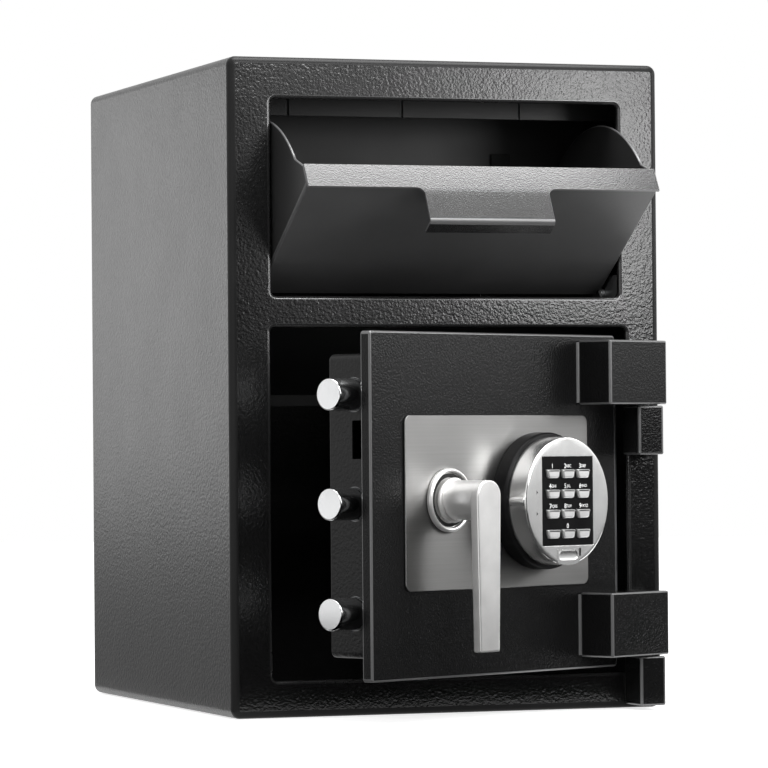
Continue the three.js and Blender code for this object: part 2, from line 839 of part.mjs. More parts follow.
function keypadCable() {
  const far = lockNearY + cableBend / 2;
  const high = middleHeight + lockLow - seat;
  const route = new THREE.CatmullRomCurve3([
    new THREE.Vector3(keypadX, baseFrontY, cableZ),
    new THREE.Vector3(keypadX, frontY, cableZ),
    new THREE.Vector3(keypadX, doorBackY, cableZ),
    new THREE.Vector3(keypadX, lockNearY, cableZ),
    new THREE.Vector3(keypadX, far - cableRadius / 2, cableZ + cableBend / 2),
    new THREE.Vector3(keypadX, far, cableZ + cableBend),
    new THREE.Vector3(keypadX, far, high),
  ], false, 'centripetal');
  const section = new THREE.Shape(circle(0, 0, cableRadius, cableSides));
  return piece('keypad_cable', 'black_rubber', new THREE.ExtrudeGeometry(section, {
    steps: cableSteps, extrudePath: route, bevelEnabled: false,
  }));
}

// Posts on the door that the bolt carriage slides along
const postRadius = 4.5;
const postSpreadShare = 0.736196;
const postDrop = 6;
const postX = handleX - postDrop;
const postSpread = boltPitch * postSpreadShare;

function guidePost(name, height) {
  const face = circle(postX, height, postRadius);
  return piece(name, 'plain_steel', slabY(face, doorBackY + seat, coverBackY - coverSheet - seat));
}

// Carriage: a flange that carries the bolts, a web with the crank slot, and the lock's ramp
const flangeThickness = 4;
const flangeDepth = 21;
const flangeGap = 2.5;
const webRight = 46;
const armLow = 15;
const armEnd = 8;
const slotRoom = 0.5;
const crankPinRadius = 4;
const studRadius = 4;
const studLength = 8;
const flangeX = coverLeft + coverSheet + seat + guideLength + seat + flangeGap + boltTravel / 2;
const crankRadius = boltTravel / 2 / Math.sin(handleTravel / 2 * degree);
const crankPinX = handleX - boltTravel / 2;
const crankPinLow = middleHeight + crankRadius * Math.cos(handleTravel / 2 * degree);
const crankPinHigh = middleHeight + crankRadius;
const webMargin = 18;

function boltCarriage() {
  const low = middleHeight - boltPitch - webMargin;
  const high = middleHeight + boltPitch + webMargin;
  const right = flangeX + webRight;
  const armRight = notchRight + armEnd;
  const rampRun = notchDepth / rampSlope;
  const face = outline([
    [flangeX, low],
    [right, low],
    [right, middleHeight - armLow],
    [armRight, middleHeight - armLow],
    [armRight, middleHeight + armTop],
    [notchRight, middleHeight + armTop],
    [notchRight, notchBottom],
    [notchRight - rampRun, notchBottom + notchDepth],
    [right, middleHeight + armTop],
    [right, high],
    [flangeX, high],
  ]);
  const slotHalfWidth = crankPinRadius + slotRoom;
  const crankSlot = rectangle(crankPinX - slotHalfWidth, crankPinX + slotHalfWidth,
    crankPinLow - slotHalfWidth - slotRoom, crankPinHigh + slotHalfWidth + slotRoom);
  const postHalf = postRadius + slotRoom;
  const postSlots = [middleHeight - postSpread, middleHeight + postSpread].map((height) => rectangle(
    postX - boltTravel - postHalf, postX + postHalf, height - postHalf, height + postHalf));
  const web = slabY(face, webNearY, webNearY + webThickness, [crankSlot, ...postSlots]);
  const flangeFace = rectangle(webNearY + webThickness - flangeDepth, webNearY + webThickness, low, high);
  const studHoles = boltHeights().map((height) => circle(boltAxisY, height, studRadius + seat));
  const flange = slabX(flangeFace, flangeX, flangeX + flangeThickness, studHoles);
  return piece('bolt_carriage', 'plain_steel', join(web, flange));
}

const boltBevel = 1;

function lockingBolt(name, height) {
  const profile = outline([
    [0, boltTipX],
    [boltRadius - boltBevel, boltTipX],
    [boltRadius, boltTipX + boltBevel],
    [boltRadius, flangeX - seat],
    [studRadius, flangeX - seat],
    [studRadius, flangeX + studLength],
    [0, flangeX + studLength],
  ]);
  const bar = new THREE.LatheGeometry(profile, largeRound).rotateZ(-Math.PI / 2);
  return piece(name, 'bright_zinc', bar.translate(0, boltAxisY, height));
}

// Lever handle, its square spindle and the crank behind the door
const neckRadius = 15;
const neckRootRadius = 17;
const neckRootDepth = 3;
const handleDepth = 43.5;
const gripThickness = 8;
const gripTopWidth = 27;
const gripFootWidth = 21.5;
const gripLength = 111;
const gripCorner = 12;
const spindleSocket = 20;
const crankNear = 12;
const crankThickness = 6;
const crankHub = 11;
const crankBoss = 7;
const spindleBackY = doorBackY + crankNear + crankThickness;
const neckBackY = collarFrontY - seat;

function squareAt(x, z, half) {
  return rectangle(x - half, x + half, z - half, z + half);
}

function leverHandle() {
  const gripFrontY = frontY - handleDepth;
  const top = middleHeight + neckRadius;
  const low = middleHeight - gripLength;
  const half = gripTopWidth / 2;
  const foot = gripFootWidth / 2;
  const face = [
    ...outline([[handleX - foot, low], [handleX + foot, low]]),
    ...arc(handleX + half - gripCorner, top - gripCorner, gripCorner, 0, quarter, cornerSteps),
    ...outline([[handleX - half, top]]),
  ];
  const profile = [
    [0, -neckBackY],
    [neckRootRadius, -neckBackY],
    [neckRootRadius, -neckBackY + neckRootDepth],
    [neckRadius, -neckBackY + neckRootDepth],
    [neckRadius, -gripFrontY - gripThickness / 2],
    [0, -gripFrontY - gripThickness / 2],
  ];
  const body = join(
    slabY(face, gripFrontY, gripFrontY + gripThickness),
    turned(profile, handleX, middleHeight, largeRound),
  );
  const socket = slabY(squareAt(handleX, middleHeight, spindleSide / 2 + seat),
    neckBackY - spindleSocket, neckBackY + cutOverrun);
  return piece('lever_handle', 'satin_nickel', cut(body, socket));
}

function spindle() {
  const face = squareAt(handleX, middleHeight, spindleSide / 2);
  return piece('spindle', 'plain_steel', slabY(face, neckBackY - spindleSocket + seat, spindleBackY));
}

function crank() {
  const near = doorBackY + crankNear;
  const far = near + crankThickness;
  const reach = [crankPinX - handleX, crankPinLow - middleHeight];
  const across = [reach[1] / crankRadius, -reach[0] / crankRadius];
  const side = (x, z, width) => [[x - across[0] * width, z - across[1] * width],
    [x + across[0] * width, z + across[1] * width]];
  const [hubLeft, hubRight] = side(handleX, middleHeight, crankHub);
  const [tipLeft, tipRight] = side(crankPinX, crankPinLow, crankBoss);
  const arm = join(
    slabY(circle(handleX, middleHeight, crankHub), near, far),
    slabY(circle(crankPinX, crankPinLow, crankBoss), near, far),
    slabY(outline([hubLeft, hubRight, tipRight, tipLeft]), near, far),
    slabY(circle(crankPinX, crankPinLow, crankPinRadius), far - crankThickness / 2,
      webNearY + webThickness + crankPinRadius / 2),
  );
  const square = squareAt(handleX, middleHeight, spindleSide / 2 + seat);
  const socket = slabY(square, near - cutOverrun, far + cutOverrun);
  return piece('crank', 'plain_steel', cut(arm, socket));
}

const shutDoor = new THREE.Group();
shutDoor.position.set(-pinX, -pinY, 0);
shutDoor.add(
  doorPlate(),
  boltworkCover(),
  hingeBlock('hinge_block_upper', upperBlockBottom),
  hingeBlock('hinge_block_lower', lowerBlockBottom),
  escutcheonPlate(),
  handleCollar(),
  keypadBase(),
  keypadHousing(),
  keypadPanel(),
  ...keys(),
  batteryDrawer(),
  deadBar(),
  hardPlate(),
  lockCase(),
  lockBolt(),
  keypadCable(),
  guidePost('guide_post_upper', middleHeight + postSpread),
  guidePost('guide_post_lower', middleHeight - postSpread),
  boltCarriage(),
  leverHandle(),
  spindle(),
  crank(),
);
const boltNames = ['lower', 'middle', 'upper'];
boltHeights().forEach((height, i) => {
  shutDoor.add(boltGuide(`bolt_guide_${boltNames[i]}`, height));
  shutDoor.add(lockingBolt(`locking_bolt_${boltNames[i]}`, height));
});

const door = new THREE.Group();
door.position.set(pinX, pinY, 0);
door.rotation.z = doorOpening * degree;
door.add(shutDoor);

const safe = new THREE.Group();
safe.add(cabinet, hopper, door);
export default safe;
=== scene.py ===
"""Drop safe with a deposit drawer: the looks of its pieces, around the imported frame.

Everything is in metres, in the frame's own axes: +Z up, the front towards -Y.
Pieces on the door are drawn with the door shut and then turned about its hinge;
pieces on the drawer are drawn shut and then tilted about its pivot.
"""
import json
from collections import namedtuple
from math import acos, cos, degrees, pi, radians, sin, sqrt, tan

import bmesh
import bpy
from bpy.props import FloatProperty, FloatVectorProperty, PointerProperty
from mathutils import Matrix, Vector


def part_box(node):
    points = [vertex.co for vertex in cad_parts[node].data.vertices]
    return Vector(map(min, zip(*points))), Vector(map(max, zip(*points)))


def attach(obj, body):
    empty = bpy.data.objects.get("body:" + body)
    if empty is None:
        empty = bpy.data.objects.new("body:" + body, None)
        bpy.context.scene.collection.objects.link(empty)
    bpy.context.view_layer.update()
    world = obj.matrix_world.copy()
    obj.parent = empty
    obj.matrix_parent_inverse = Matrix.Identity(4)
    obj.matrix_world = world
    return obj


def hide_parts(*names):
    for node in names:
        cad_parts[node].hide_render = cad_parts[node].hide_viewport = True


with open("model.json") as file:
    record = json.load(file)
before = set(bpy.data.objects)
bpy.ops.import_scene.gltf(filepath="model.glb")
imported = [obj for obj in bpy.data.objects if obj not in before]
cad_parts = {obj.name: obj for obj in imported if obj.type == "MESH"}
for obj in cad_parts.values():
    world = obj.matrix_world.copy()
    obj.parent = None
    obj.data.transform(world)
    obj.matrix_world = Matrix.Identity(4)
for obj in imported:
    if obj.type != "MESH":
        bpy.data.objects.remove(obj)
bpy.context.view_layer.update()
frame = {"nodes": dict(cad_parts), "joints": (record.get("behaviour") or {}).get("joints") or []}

bl_info = {
    "name": "Drop Safe",
    "version": (1, 0, 0),
    "blender": (4, 5, 0),
    "location": "3D View > Sidebar > Drop Safe",
    "description": "Builds the visible pieces of a drop safe with a deposit drawer",
    "category": "Add Mesh",
}

MM = 0.001
SEAT = 0.3 * MM
FINE_EDGE = 0.3 * MM
OVERRUN = 1 * MM
MERGE = 0.001 * MM


def length(name, description, millimetres):
    """A property that holds a size in metres, given in millimetres."""
    return FloatProperty(
        name=name, description=description, default=millimetres * MM, min=0, unit="LENGTH")


def angle(name, description, turn):
    """A property that holds an angle, given in degrees."""
    return FloatProperty(
        name=name, description=description, default=radians(turn), unit="ROTATION")


def share(name, description, value):
    """A property that holds a number without a unit."""
    return FloatProperty(name=name, description=description, default=value, min=0)


def colour(name, description, value):
    """A property that holds a linear colour."""
    return FloatVectorProperty(
        name=name, description=description, default=value, size=3, min=0, max=1, subtype="COLOR")


# Sizes and colours

class CabinetSizes(bpy.types.PropertyGroup):
    corner: length("Corner", "Radius of the cabinet's four long edges", 7)
    bend: length("Front bend", "Radius between the front and the sides", 5.5)
    opening_corner: length("Opening corner", "Corner radius of the slot and the doorway", 4)
    opening_edge: length("Opening edge", "Rounding along the slot and the doorway", 2.8)
    wall: length("Wall", "Sheet of the wrap", 3)
    rear_edge: length("Rear edge", "Rounding along the wrap's rear edge", 1.2)
    anchor_inset: length("Anchor inset", "From the cabinet's sides to the anchor holes", 60)
    anchor_radius: length("Anchor radius", "Radius of the anchor holes", 6)
    block_edge: length("Hinge edge", "Rounding along the hinge blocks and knuckles", 1.4)
    pin_bore: length("Pin bore", "Radius of the bores for the hinge pins", 5.3)


class DrawerSizes(bpy.types.PropertyGroup):
    tilt: angle("Tilt", "How far the drawer is tilted open", 58)
    sheet: length("Sheet", "Thickness of the drawer's sheet", 2)
    face_edge: length("Face edge", "Rounding along the face panel", 1.5)
    ear_rise: length("Ear rise", "From the pivot up to the face's ears", 4.8)
    ear_width: length("Ear width", "How far the ears stand out at each side", 2.3)
    cap_reach: length("Cap reach", "How far the cap's front edge lies before the pivot", 2.5)
    trough_radius: length("Trough radius", "Radius of the quarter-round side plates", 134)
    pin_radius: length("Pin radius", "Radius of the pivot pins", 4)
    bend: length("Bend", "Outer radius of the pull's bend", 3.4)
    pull_width: length("Pull width", "Width of the finger pull", 101)
    pull_fillet: length("Pull fillet", "Radius where the pull leaves the cap", 6)
    pull_droop: angle("Pull droop", "How far the pull is bent down from the cap", 3.3)
    pull_fold: length("Pull fold", "Depth of the soft fold between the cap and the pull", 6)
    edge: length("Sheet edge", "Rounding along cut edges", 0.7)


class DoorSizes(bpy.types.PropertyGroup):
    opening: angle("Opening", "How far the door stands open", 28.3)
    corner: length("Corner", "Corner radius of the door plate", 2.5)
    edge: length("Edge", "Rounding along the door plate", 1.5)
    cover_corner: length("Cover corner", "Corner radius of the boltwork cover", 5)
    cover_bend: length("Cover bend", "Outer bend radius of the boltwork cover", 3)
    cover_sheet: length("Cover sheet", "Thickness of the boltwork cover", 1.5)
    bolt_hole_gap: length("Bolt hole gap", "Clearance of the bolts in the cover", 1.2)
    bolt_edge: length("Bolt edge", "Rounding of the bolts' ends", 1.4)
    plate_corner: length("Plate corner", "Corner radius of the escutcheon plate", 6)
    plate_edge: length("Plate edge", "Rounding along the escutcheon plate", 0.6)
    spindle_hole: length("Spindle hole", "Radius of the hole for the spindle", 7.4)
    screw_radius: length("Screw radius", "Radius of the screw heads", 4)


class HandleSizes(bpy.types.PropertyGroup):
    neck_radius: length("Neck radius", "Radius of the lever's neck", 15)
    root_radius: length("Root radius", "Radius of the ring at the neck's root", 17)
    root_depth: length("Root depth", "Length of the ring at the neck's root", 3)
    groove: length("Groove", "Width of the groove beside that ring", 1.2)
    grip_foot: length("Grip foot", "Width of the grip at its lower end", 21.5)
    grip_top: length("Grip top", "Width of the grip at its upper end", 27)
    grip_thickness: length("Grip thickness", "Thickness of the grip", 8)
    grip_corner: length("Grip corner", "Radius of the grip's outer shoulder", 12)
    grip_edge: length("Grip edge", "Rounding along the grip", 1.3)
    spindle_side: length("Spindle side", "Side of the square spindle", 10)


class KeypadSizes(bpy.types.PropertyGroup):
    rim: length("Rim", "Chamfer round the housing's front", 1.7)
    base_edge: length("Base edge", "Rounding of the black base", 2.4)
    panel_recess: length("Panel recess", "How far the panel lies below the housing", 0.25)
    key_dome_inset: length("Key dome inset", "How far in from its sides a key is domed", 1.5)
    key_dome_depth: length("Key dome depth", "How far a key's front is domed", 1.3)
    digit_height: length("Digit height", "Height of the digits", 3.7)
    letter_height: length("Letter height", "Height of the letters beside the digits", 2.3)
    legend_gap: length("Legend gap", "From a key's upper edge to its digit", 0.7)
    legend_proud: length("Legend thickness", "Thickness of the printed digits", 0.05)


class FinishColours(bpy.types.PropertyGroup):
    coat: colour("Coat", "Textured black powder coat", (0.005, 0.005, 0.0051))
    satin: colour("Satin black", "Smooth black coat of the drawer", (0.052, 0.052, 0.0525))
    stainless: colour("Stainless", "Brushed escutcheon plate", (0.26, 0.258, 0.254))
    nickel: colour("Satin nickel", "Lever and collar", (0.92, 0.915, 0.905))
    zinc: colour("Bright zinc", "Locking bolts", (0.78, 0.785, 0.79))
    steel: colour("Plain steel", "Inner steel parts", (0.33, 0.335, 0.34))
    silver: colour("Silver", "Keypad housing", (0.90, 0.90, 0.895))
    key: colour("Key silver", "Keys", (0.90, 0.90, 0.895))
    plastic: colour("Black plastic", "Keypad base and panel", (0.004, 0.004, 0.0042))
    rubber: colour("Black rubber", "Stops and cable", (0.018, 0.018, 0.018))
    legend: colour("Legend", "Printed digits", (0.85, 0.85, 0.85))
    coat_grain: length("Coat grain", "Size of the pebbles in the front's coat", 1.95)
    side_grain: length("Side grain", "Size of the grain in the sides' coat", 2.8)


class StageSettings(bpy.types.PropertyGroup):
    lens: FloatProperty(name="Lens", description="Focal length on a 36 mm sensor, in millimetres",
                        default=201.4, min=1)
    eye: FloatVectorProperty(name="Eye", description="Where the camera stands", size=3,
                             default=(-1.152, -3.337, 0.209), subtype="TRANSLATION", unit="LENGTH")
    yaw: angle("Yaw", "How far the camera is turned to the right of +Y", 19.29)
    pitch: angle("Pitch", "How far the camera looks up", 0.81)
    roll: angle("Roll", "How far the camera is rolled", -0.46)
    ambient: share("Ambient", "Strength of the surroundings as a light", 0.7)
    floor_glow: share("Floor glow", "What the floor adds towards the camera", 0.75)
    key_power: share("Key power", "Power of the lamp at the front right, in watts", 2.0)
    band_power: share("Band power", "Power of the wide lamp above the front, in watts", 5.0)
    right_power: share("Right power", "Power of the lamp at the right, in watts", 1.6)
    top_power: share("Top power", "Power of the lamp overhead, in watts", 7.2)
    rear_power: share("Rear power", "Power of the lamp at the rear left, in watts", 0.6)
    spark_power: share("Spark power", "Power of the small lamp the door reflects, in watts", 0.22)


GROUPS = {
    "safe_cabinet": CabinetSizes,
    "safe_drawer": DrawerSizes,
    "safe_door": DoorSizes,
    "safe_handle": HandleSizes,
    "safe_keypad": KeypadSizes,
    "safe_finish": FinishColours,
    "safe_stage": StageSettings,
}


# Places taken from the frame

Point = namedtuple("Point", "x y z")


def joint_place(name):
    """Where a joint's axis passes, in metres."""
    return Vector(next(joint["pos_m"] for joint in frame["joints"] if joint["name"] == name))


def turn_about(centre, turn, axis):
    """A turn about an axis through a point."""
    return Matrix.Translation(centre) @ Matrix.Rotation(turn, 4, axis) @ Matrix.Translation(-centre)


def door_place():
    """Takes what is drawn on the shut door to where the door stands open."""
    return turn_about(joint_place("door_hinge"), bpy.context.scene.safe_door.opening, "Z")


def drawer_place():
    """Takes what is drawn on the shut drawer to where it is tilted open."""
    return turn_about(joint_place("hopper_pivot"), bpy.context.scene.safe_drawer.tilt, "X")


def box_of(corners):
    """Lowest and highest corner of the box round some points."""
    low = Vector([min(corner[axis] for corner in corners) for axis in range(3)])
    high = Vector([max(corner[axis] for corner in corners) for axis in range(3)])
    return low, high


def middle(box):
    """The middle of a box that is given by its two corners."""
    return Point(*((low + high) / 2 for low, high in zip(*box)))


def shut_box(node, place):
    """Lowest and highest corner of a node before it was turned with the door or the drawer."""
    back = place.inverted()
    return box_of([back @ vertex.co for vertex in frame["nodes"][node].data.vertices])


# Outlines, as lists of (across, up), counter-clockwise

def arc(centre, radius, start, end, steps):
    """Points along an arc between two angles in degrees."""
    points = []
    for i in range(steps + 1):
        turn = radians(start + (end - start) * i / steps)
        points.append((centre[0] + radius * cos(turn), centre[1] + radius * sin(turn)))
    return points


def circle(centre, radius, steps=64):
    """A round outline."""
    return arc(centre, radius, 0, 360 * (steps - 1) / steps, steps - 1)


def rectangle(left, right, low, high, corner=0.0, steps=6):
    """A rectangle with round corners."""
    if corner == 0:
        return [(left, low), (right, low), (right, high), (left, high)]
    return (arc((right - corner, low + corner), corner, -90, 0, steps)
            + arc((right - corner, high - corner), corner, 0, 90, steps)
            + arc((left + corner, high - corner), corner, 90, 180, steps)
            + arc((left + corner, low + corner), corner, 180, 270, steps))


def front_of(low, high, corner, steps=6, grow=0.0):
    """A box as it is seen from the front, with round corners."""
    return rectangle(low.x - grow, high.x + grow, low.z - grow, high.z + grow, corner, steps)


def rounded(points, radii, steps=5):
    """An outline whose corners are rounded by the given radii."""
    result = []
    count = len(points)
    for i, (point, radius) in enumerate(zip(points, radii)):
        here = Vector(point)
        before = (Vector(points[i - 1]) - here).normalized()
        after = (Vector(points[(i + 1) % count]) - here).normalized()
        half = before.angle(after) / 2
        if radius == 0 or half > radians(89):
            result.append(tuple(here))
            continue
        centre = here + (before + after).normalized() * (radius / sin(half))
        first = here + before * (radius / tan(half))
        last = here + after * (radius / tan(half))
        from_centre = first - centre
        sweep = from_centre.angle_signed(last - centre)
        for k in range(steps + 1):
            turn = Matrix.Rotation(-sweep * k / steps, 2)
            result.append(tuple(centre + turn @ from_centre))
    return result


def inset(points, distance):
    """The outline moved inwards by a distance, with mitred corners."""
    if distance == 0:
        return list(points)
    count = len(points)
    moved = []
    for i, point in enumerate(points):
        before = (Vector(point) - Vector(points[i - 1])).normalized()
        after = (Vector(points[(i + 1) % count]) - Vector(point)).normalized()
        first = Vector((-before.y, before.x))
        second = Vector((-after.y, after.x))
        mitre = first + second
        moved.append(tuple(Vector(point) + mitre * (2 * distance / mitre.length_squared)))
    return moved


# Meshes. A basis takes (across, up, along) to the frame's axes.

ALONG_Y = Matrix(((1, 0, 0, 0), (0, 0, 1, 0), (0, 1, 0, 0), (0, 0, 0, 1)))
ALONG_X = Matrix(((0, 0, 1, 0), (1, 0, 0, 0), (0, 1, 0, 0), (0, 0, 0, 1)))
ALONG_Z = Matrix.Identity(4)


def rounding(reach, steps):
    """(inset, depth) pairs of a quarter round, from the flat face to the wall."""
    across, deep = reach if isinstance(reach, tuple) else (reach, reach)
    if across == 0 and deep == 0:
        return [(0, 0)]
    pairs = []
    for i in range(steps + 1):
        turn = pi / 2 * i / steps
        pairs.append((across * (1 - sin(turn)), deep * (1 - cos(turn))))
    return pairs


def slab(shape, outer, near, far, holes=(), edges=(0, 0), hole_edges=(0, 0), basis=ALONG_Y, steps=4):
    """Adds a closed slab between two levels, with its rims rounded at the near and the far face."""
    rims = [[], []]
    for points, turn, reach in [(outer, 1, edges)] + [(hole, -1, hole_edges) for hole in holes]:
        levels = [(cut, near + deep) for cut, deep in rounding(reach[0], steps)]
        levels += [(cut, far - deep) for cut, deep in reversed(rounding(reach[1], steps))]
        loops = skin(shape, [(inset(points, cut * turn), level) for cut, level in levels], basis)
        rims[0].append(loops[0])
        rims[1].append(loops[-1])
    for rim in rims:
        cap(shape, rim)


def skin(shape, outlines, basis):
    """Loops of vertices for pairs of an outline and its level, with quads between them."""
    loops = []
    for points, level in outlines:
        loops.append([shape.verts.new(basis @ Vector((a, b, level))) for a, b in points])
    for first, second in zip(loops, loops[1:]):
        bridge(shape, first, second)
    return loops


def bridge(shape, first, second):
    """Quads between two loops of equally many vertices."""
    count = len(first)
    for i in range(count):
        j = (i + 1) % count
        shape.faces.new((first[i], first[j], second[j], second[i]))


def cap(shape, loops):
    """Closes a flat face that lies between loops."""
    if len(loops) == 1:
        shape.faces.new(loops[0])
        return
    edges = []
    for loop in loops:
        for i, vertex in enumerate(loop):
            edges.append(shape.edges.get((vertex, loop[(i + 1) % len(loop)])))
    bmesh.ops.triangle_fill(shape, use_beauty=True, use_dissolve=False, edges=edges)


def lathe(shape, profile, centre, steps=72, basis=ALONG_Y):
    """Adds a profile of (radius, along) turned about an axis. A radius of zero closes on the axis."""
    previous = None
    for radius, along in profile:
        if radius == 0:
            loop = [shape.verts.new(basis @ Vector((centre[0], centre[1], along)))]
        else:
            loop = [shape.verts.new(basis @ Vector((a, b, along))) for a, b in circle(centre, radius, steps)]
        if previous is not None:
            if len(previous) == 1 or len(loop) == 1:
                tip, ring = (previous[0], loop) if len(previous) == 1 else (loop[0], previous)
                for i in range(steps):
                    shape.faces.new((tip, ring[i], ring[(i + 1) % steps]))
            else:
                bridge(shape, previous, loop)
        previous = loop


def object_of(name, shape, place=None):
    """An object of a closed shape, with its doubles merged and its faces turned outwards."""
    bmesh.ops.remove_doubles(shape, verts=shape.verts, dist=MERGE)
    bmesh.ops.recalc_face_normals(shape, faces=shape.faces)
    return linked(name, shape, place)


def linked(name, shape, place=None):
    """Turns a bmesh into an object whose mesh holds its place."""
    if place is not None:
        shape.transform(place)
    mesh = bpy.data.meshes.new(name)
    shape.to_mesh(mesh)
    shape.free()
    piece = bpy.data.objects.new(name, mesh)
    bpy.context.scene.collection.objects.link(piece)
    return piece


def applied(piece):
    """Applies a piece's modifiers to its mesh."""
    graph = bpy.context.evaluated_depsgraph_get()
    mesh = bpy.data.meshes.new_from_object(piece.evaluated_get(graph))
    mesh.name = piece.name
    piece.modifiers.clear()
    piece.data = mesh


def combined(piece, tools, operation="DIFFERENCE"):
    """Cuts tools out of a piece, or joins them to it."""
    for tool in tools:
        modifier = piece.modifiers.new(operation, "BOOLEAN")
        modifier.operation = operation
        modifier.object = tool
        modifier.solver = "EXACT"
    applied(piece)
    for tool in tools:
        bpy.data.objects.remove(tool)


def slab_object(name, *slab_inputs, place=None, **slab_options):
    """An object that is one slab."""
    shape = bmesh.new()
    slab(shape, *slab_inputs, **slab_options)
    return object_of(name, shape, place)


def lathe_object(name, *lathe_inputs, place=None, **lathe_options):
    """An object that is one turned profile."""
    shape = bmesh.new()
    lathe(shape, *lathe_inputs, **lathe_options)
    return object_of(name, shape, place)


def copy_of(node, name):
    """A merged copy of a node's mesh, with its flat faces made whole."""
    shape = bmesh.new()
    shape.from_mesh(frame["nodes"][node].data)
    bmesh.ops.remove_doubles(shape, verts=shape.verts, dist=MERGE)
    bmesh.ops.dissolve_limit(shape, angle_limit=radians(0.5), verts=shape.verts, edges=shape.edges)
    return object_of(name, shape)


def finish(piece, coating, body, node=None, edge=0.0, smooth=35, rim=None, narrow=0.8 * MM):
    """Gives a piece its material and shading, and ties it to the frame. A rim material paints highlight or
    shade on its narrow rim quads.
    """
    piece.data.materials.clear()
    piece.data.materials.append(materials()[coating])
    piece.data.polygons.foreach_set("material_index", [0] * len(piece.data.polygons))
    if rim:
        piece.data.materials.append(materials()[rim])
        spots = [vertex.co for vertex in piece.data.vertices]
        for face in piece.data.polygons:
            shortest = min((spots[a] - spots[b]).length for a, b in face.edge_keys)
            face.material_index = int(len(face.vertices) == 4 and shortest < narrow)
    piece.data.shade_smooth()
    piece.data.set_sharp_from_angle(angle=radians(smooth))
    if edge > 0:
        bevel = piece.modifiers.new("Edges", "BEVEL")
        bevel.width = edge
        bevel.segments = 3
        bevel.limit_method = "ANGLE"
        bevel.angle_limit = radians(smooth)
        bevel.use_clamp_overlap = True
    weighted = piece.modifiers.new("Normals", "WEIGHTED_NORMAL")
    weighted.keep_sharp = True
    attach(piece, body)
    if node:
        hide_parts(node)


# Materials

class Recipe:
    """A material under way, whose methods add nodes to it."""

    def __init__(self, name, base, roughness, metallic=0.0, specular=0.5):
        self.material = bpy.data.materials.new(name)
        self.material.use_nodes = True
        self.tree = self.material.node_tree
        self.shader = self.tree.nodes["Principled BSDF"]
        self.shader.inputs["Base Color"].default_value = (*base, 1)
        self.shader.inputs["Roughness"].default_value = roughness
        self.shader.inputs["Metallic"].default_value = metallic
        self.shader.inputs["Specular IOR Level"].default_value = specular
        self.place = self.tree.nodes.new("ShaderNodeTexCoord").outputs["Object"]

    def put(self, socket, value):
        """Links an output to a socket, or sets the socket's value."""
        if isinstance(value, bpy.types.NodeSocket):
            self.tree.links.new(value, socket)
        else:
            socket.default_value = value

    def mapped(self, scale, turn=(0, 0, 0)):
        """Object coordinates turned and stretched."""
        mapping = self.tree.nodes.new("ShaderNodeMapping")
        mapping.vector_type = "POINT"
        self.put(mapping.inputs["Vector"], self.place)
        mapping.inputs["Rotation"].default_value = turn
        mapping.inputs["Scale"].default_value = scale
        return mapping.outputs["Vector"]

    def noise(self, scale, detail, roughness, vector=None):
        """Fractal noise, 0 to 1."""
        noise = self.tree.nodes.new("ShaderNodeTexNoise")
        self.put(noise.inputs["Vector"], self.place if vector is None else vector)
        noise.inputs["Scale"].default_value = scale
        noise.inputs["Detail"].default_value = detail
        noise.inputs["Roughness"].default_value = roughness
        return noise.outputs["Fac"]

    def span(self, value, low, high, to_low, to_high):
        """A value carried from one range to another, without passing its ends."""
        spread = self.tree.nodes.new("ShaderNodeMapRange")
        for socket, number in zip(spread.inputs, (value, low, high, to_low, to_high)):
            self.put(socket, number)
        return spread.outputs["Result"]

    def calc(self, operation, first, second):
        """One sum."""
        step = self.tree.nodes.new("ShaderNodeMath")
        step.operation = operation
        self.put(step.inputs[0], first)
        self.put(step.inputs[1], second)
        return step.outputs[0]

    def set(self, socket, value):
        """Feeds one of the shader's sockets."""
        self.put(self.shader.inputs[socket], value)

    def tint(self, value, low, high, tone, dark, light):
        """Varies a tone by factors from dark to light as a value goes from low to high."""
        mix = self.tree.nodes.new("ShaderNodeMix")
        mix.data_type = "RGBA"
        self.put(mix.inputs["Factor"], self.span(value, low, high, 0.0, 1.0))
        self.put(mix.inputs[6], (*lighter(tone, dark), 1))
        self.put(mix.inputs[7], (*lighter(tone, light), 1))
        self.set("Base Color", mix.outputs[2])

    def bump(self, height, distance):
        """Raises the surface by a height times a distance."""
        bump = self.tree.nodes.new("ShaderNodeBump")
        self.put(bump.inputs["Height"], height)
        self.put(bump.inputs["Distance"], distance)
        self.put(bump.inputs["Strength"], 1.0)
        self.set("Normal", bump.outputs["Normal"])

    def glow(self, strength):
        """Lets the surface shine white, without its being sampled as a lamp."""
        self.set("Emission Color", (1, 1, 1, 1))
        self.set("Emission Strength", strength)
        self.material.cycles.emission_sampling = "NONE"


def lighter(tone, factor):
    """A colour times a factor."""
    return tuple(min(1.0, channel * factor) for channel in tone)


def coat(name, tone, grain, height, roughness, specular, spread):
    """Textured powder coat: pebbles, finer grain between them and slight dust in the hollows."""
    recipe = Recipe(name, tone, roughness, specular=specular)
    pebbles = recipe.noise(1 / grain, 1.6, 0.5)
    grit = recipe.noise(2.8 / grain, 2.0, 0.6)
    cloud = recipe.noise(18, 3.0, 0.5)
    recipe.tint(grit, 0.35, 0.65, tone, 0.7, 1.5)
    recipe.set("Roughness", recipe.span(
        recipe.calc("ADD", cloud, grit), 0.7, 1.3, roughness - spread / 2, roughness + spread / 2))
    recipe.bump(pebbles, height)


def satin(name, tone, roughness, specular):
    """Smooth black coat with a faint orange peel and rubbed patches."""
    recipe = Recipe(name, tone, roughness, specular=specular)
    peel = recipe.noise(420, 2.0, 0.5)
    patches = recipe.noise(22, 4.0, 0.6)
    recipe.tint(patches, 0.35, 0.7, tone, 0.93, 1.1)
    recipe.set("Roughness", recipe.span(patches, 0.3, 0.7, roughness - 0.02, roughness + 0.03))
    recipe.bump(peel, 0.04 * MM)


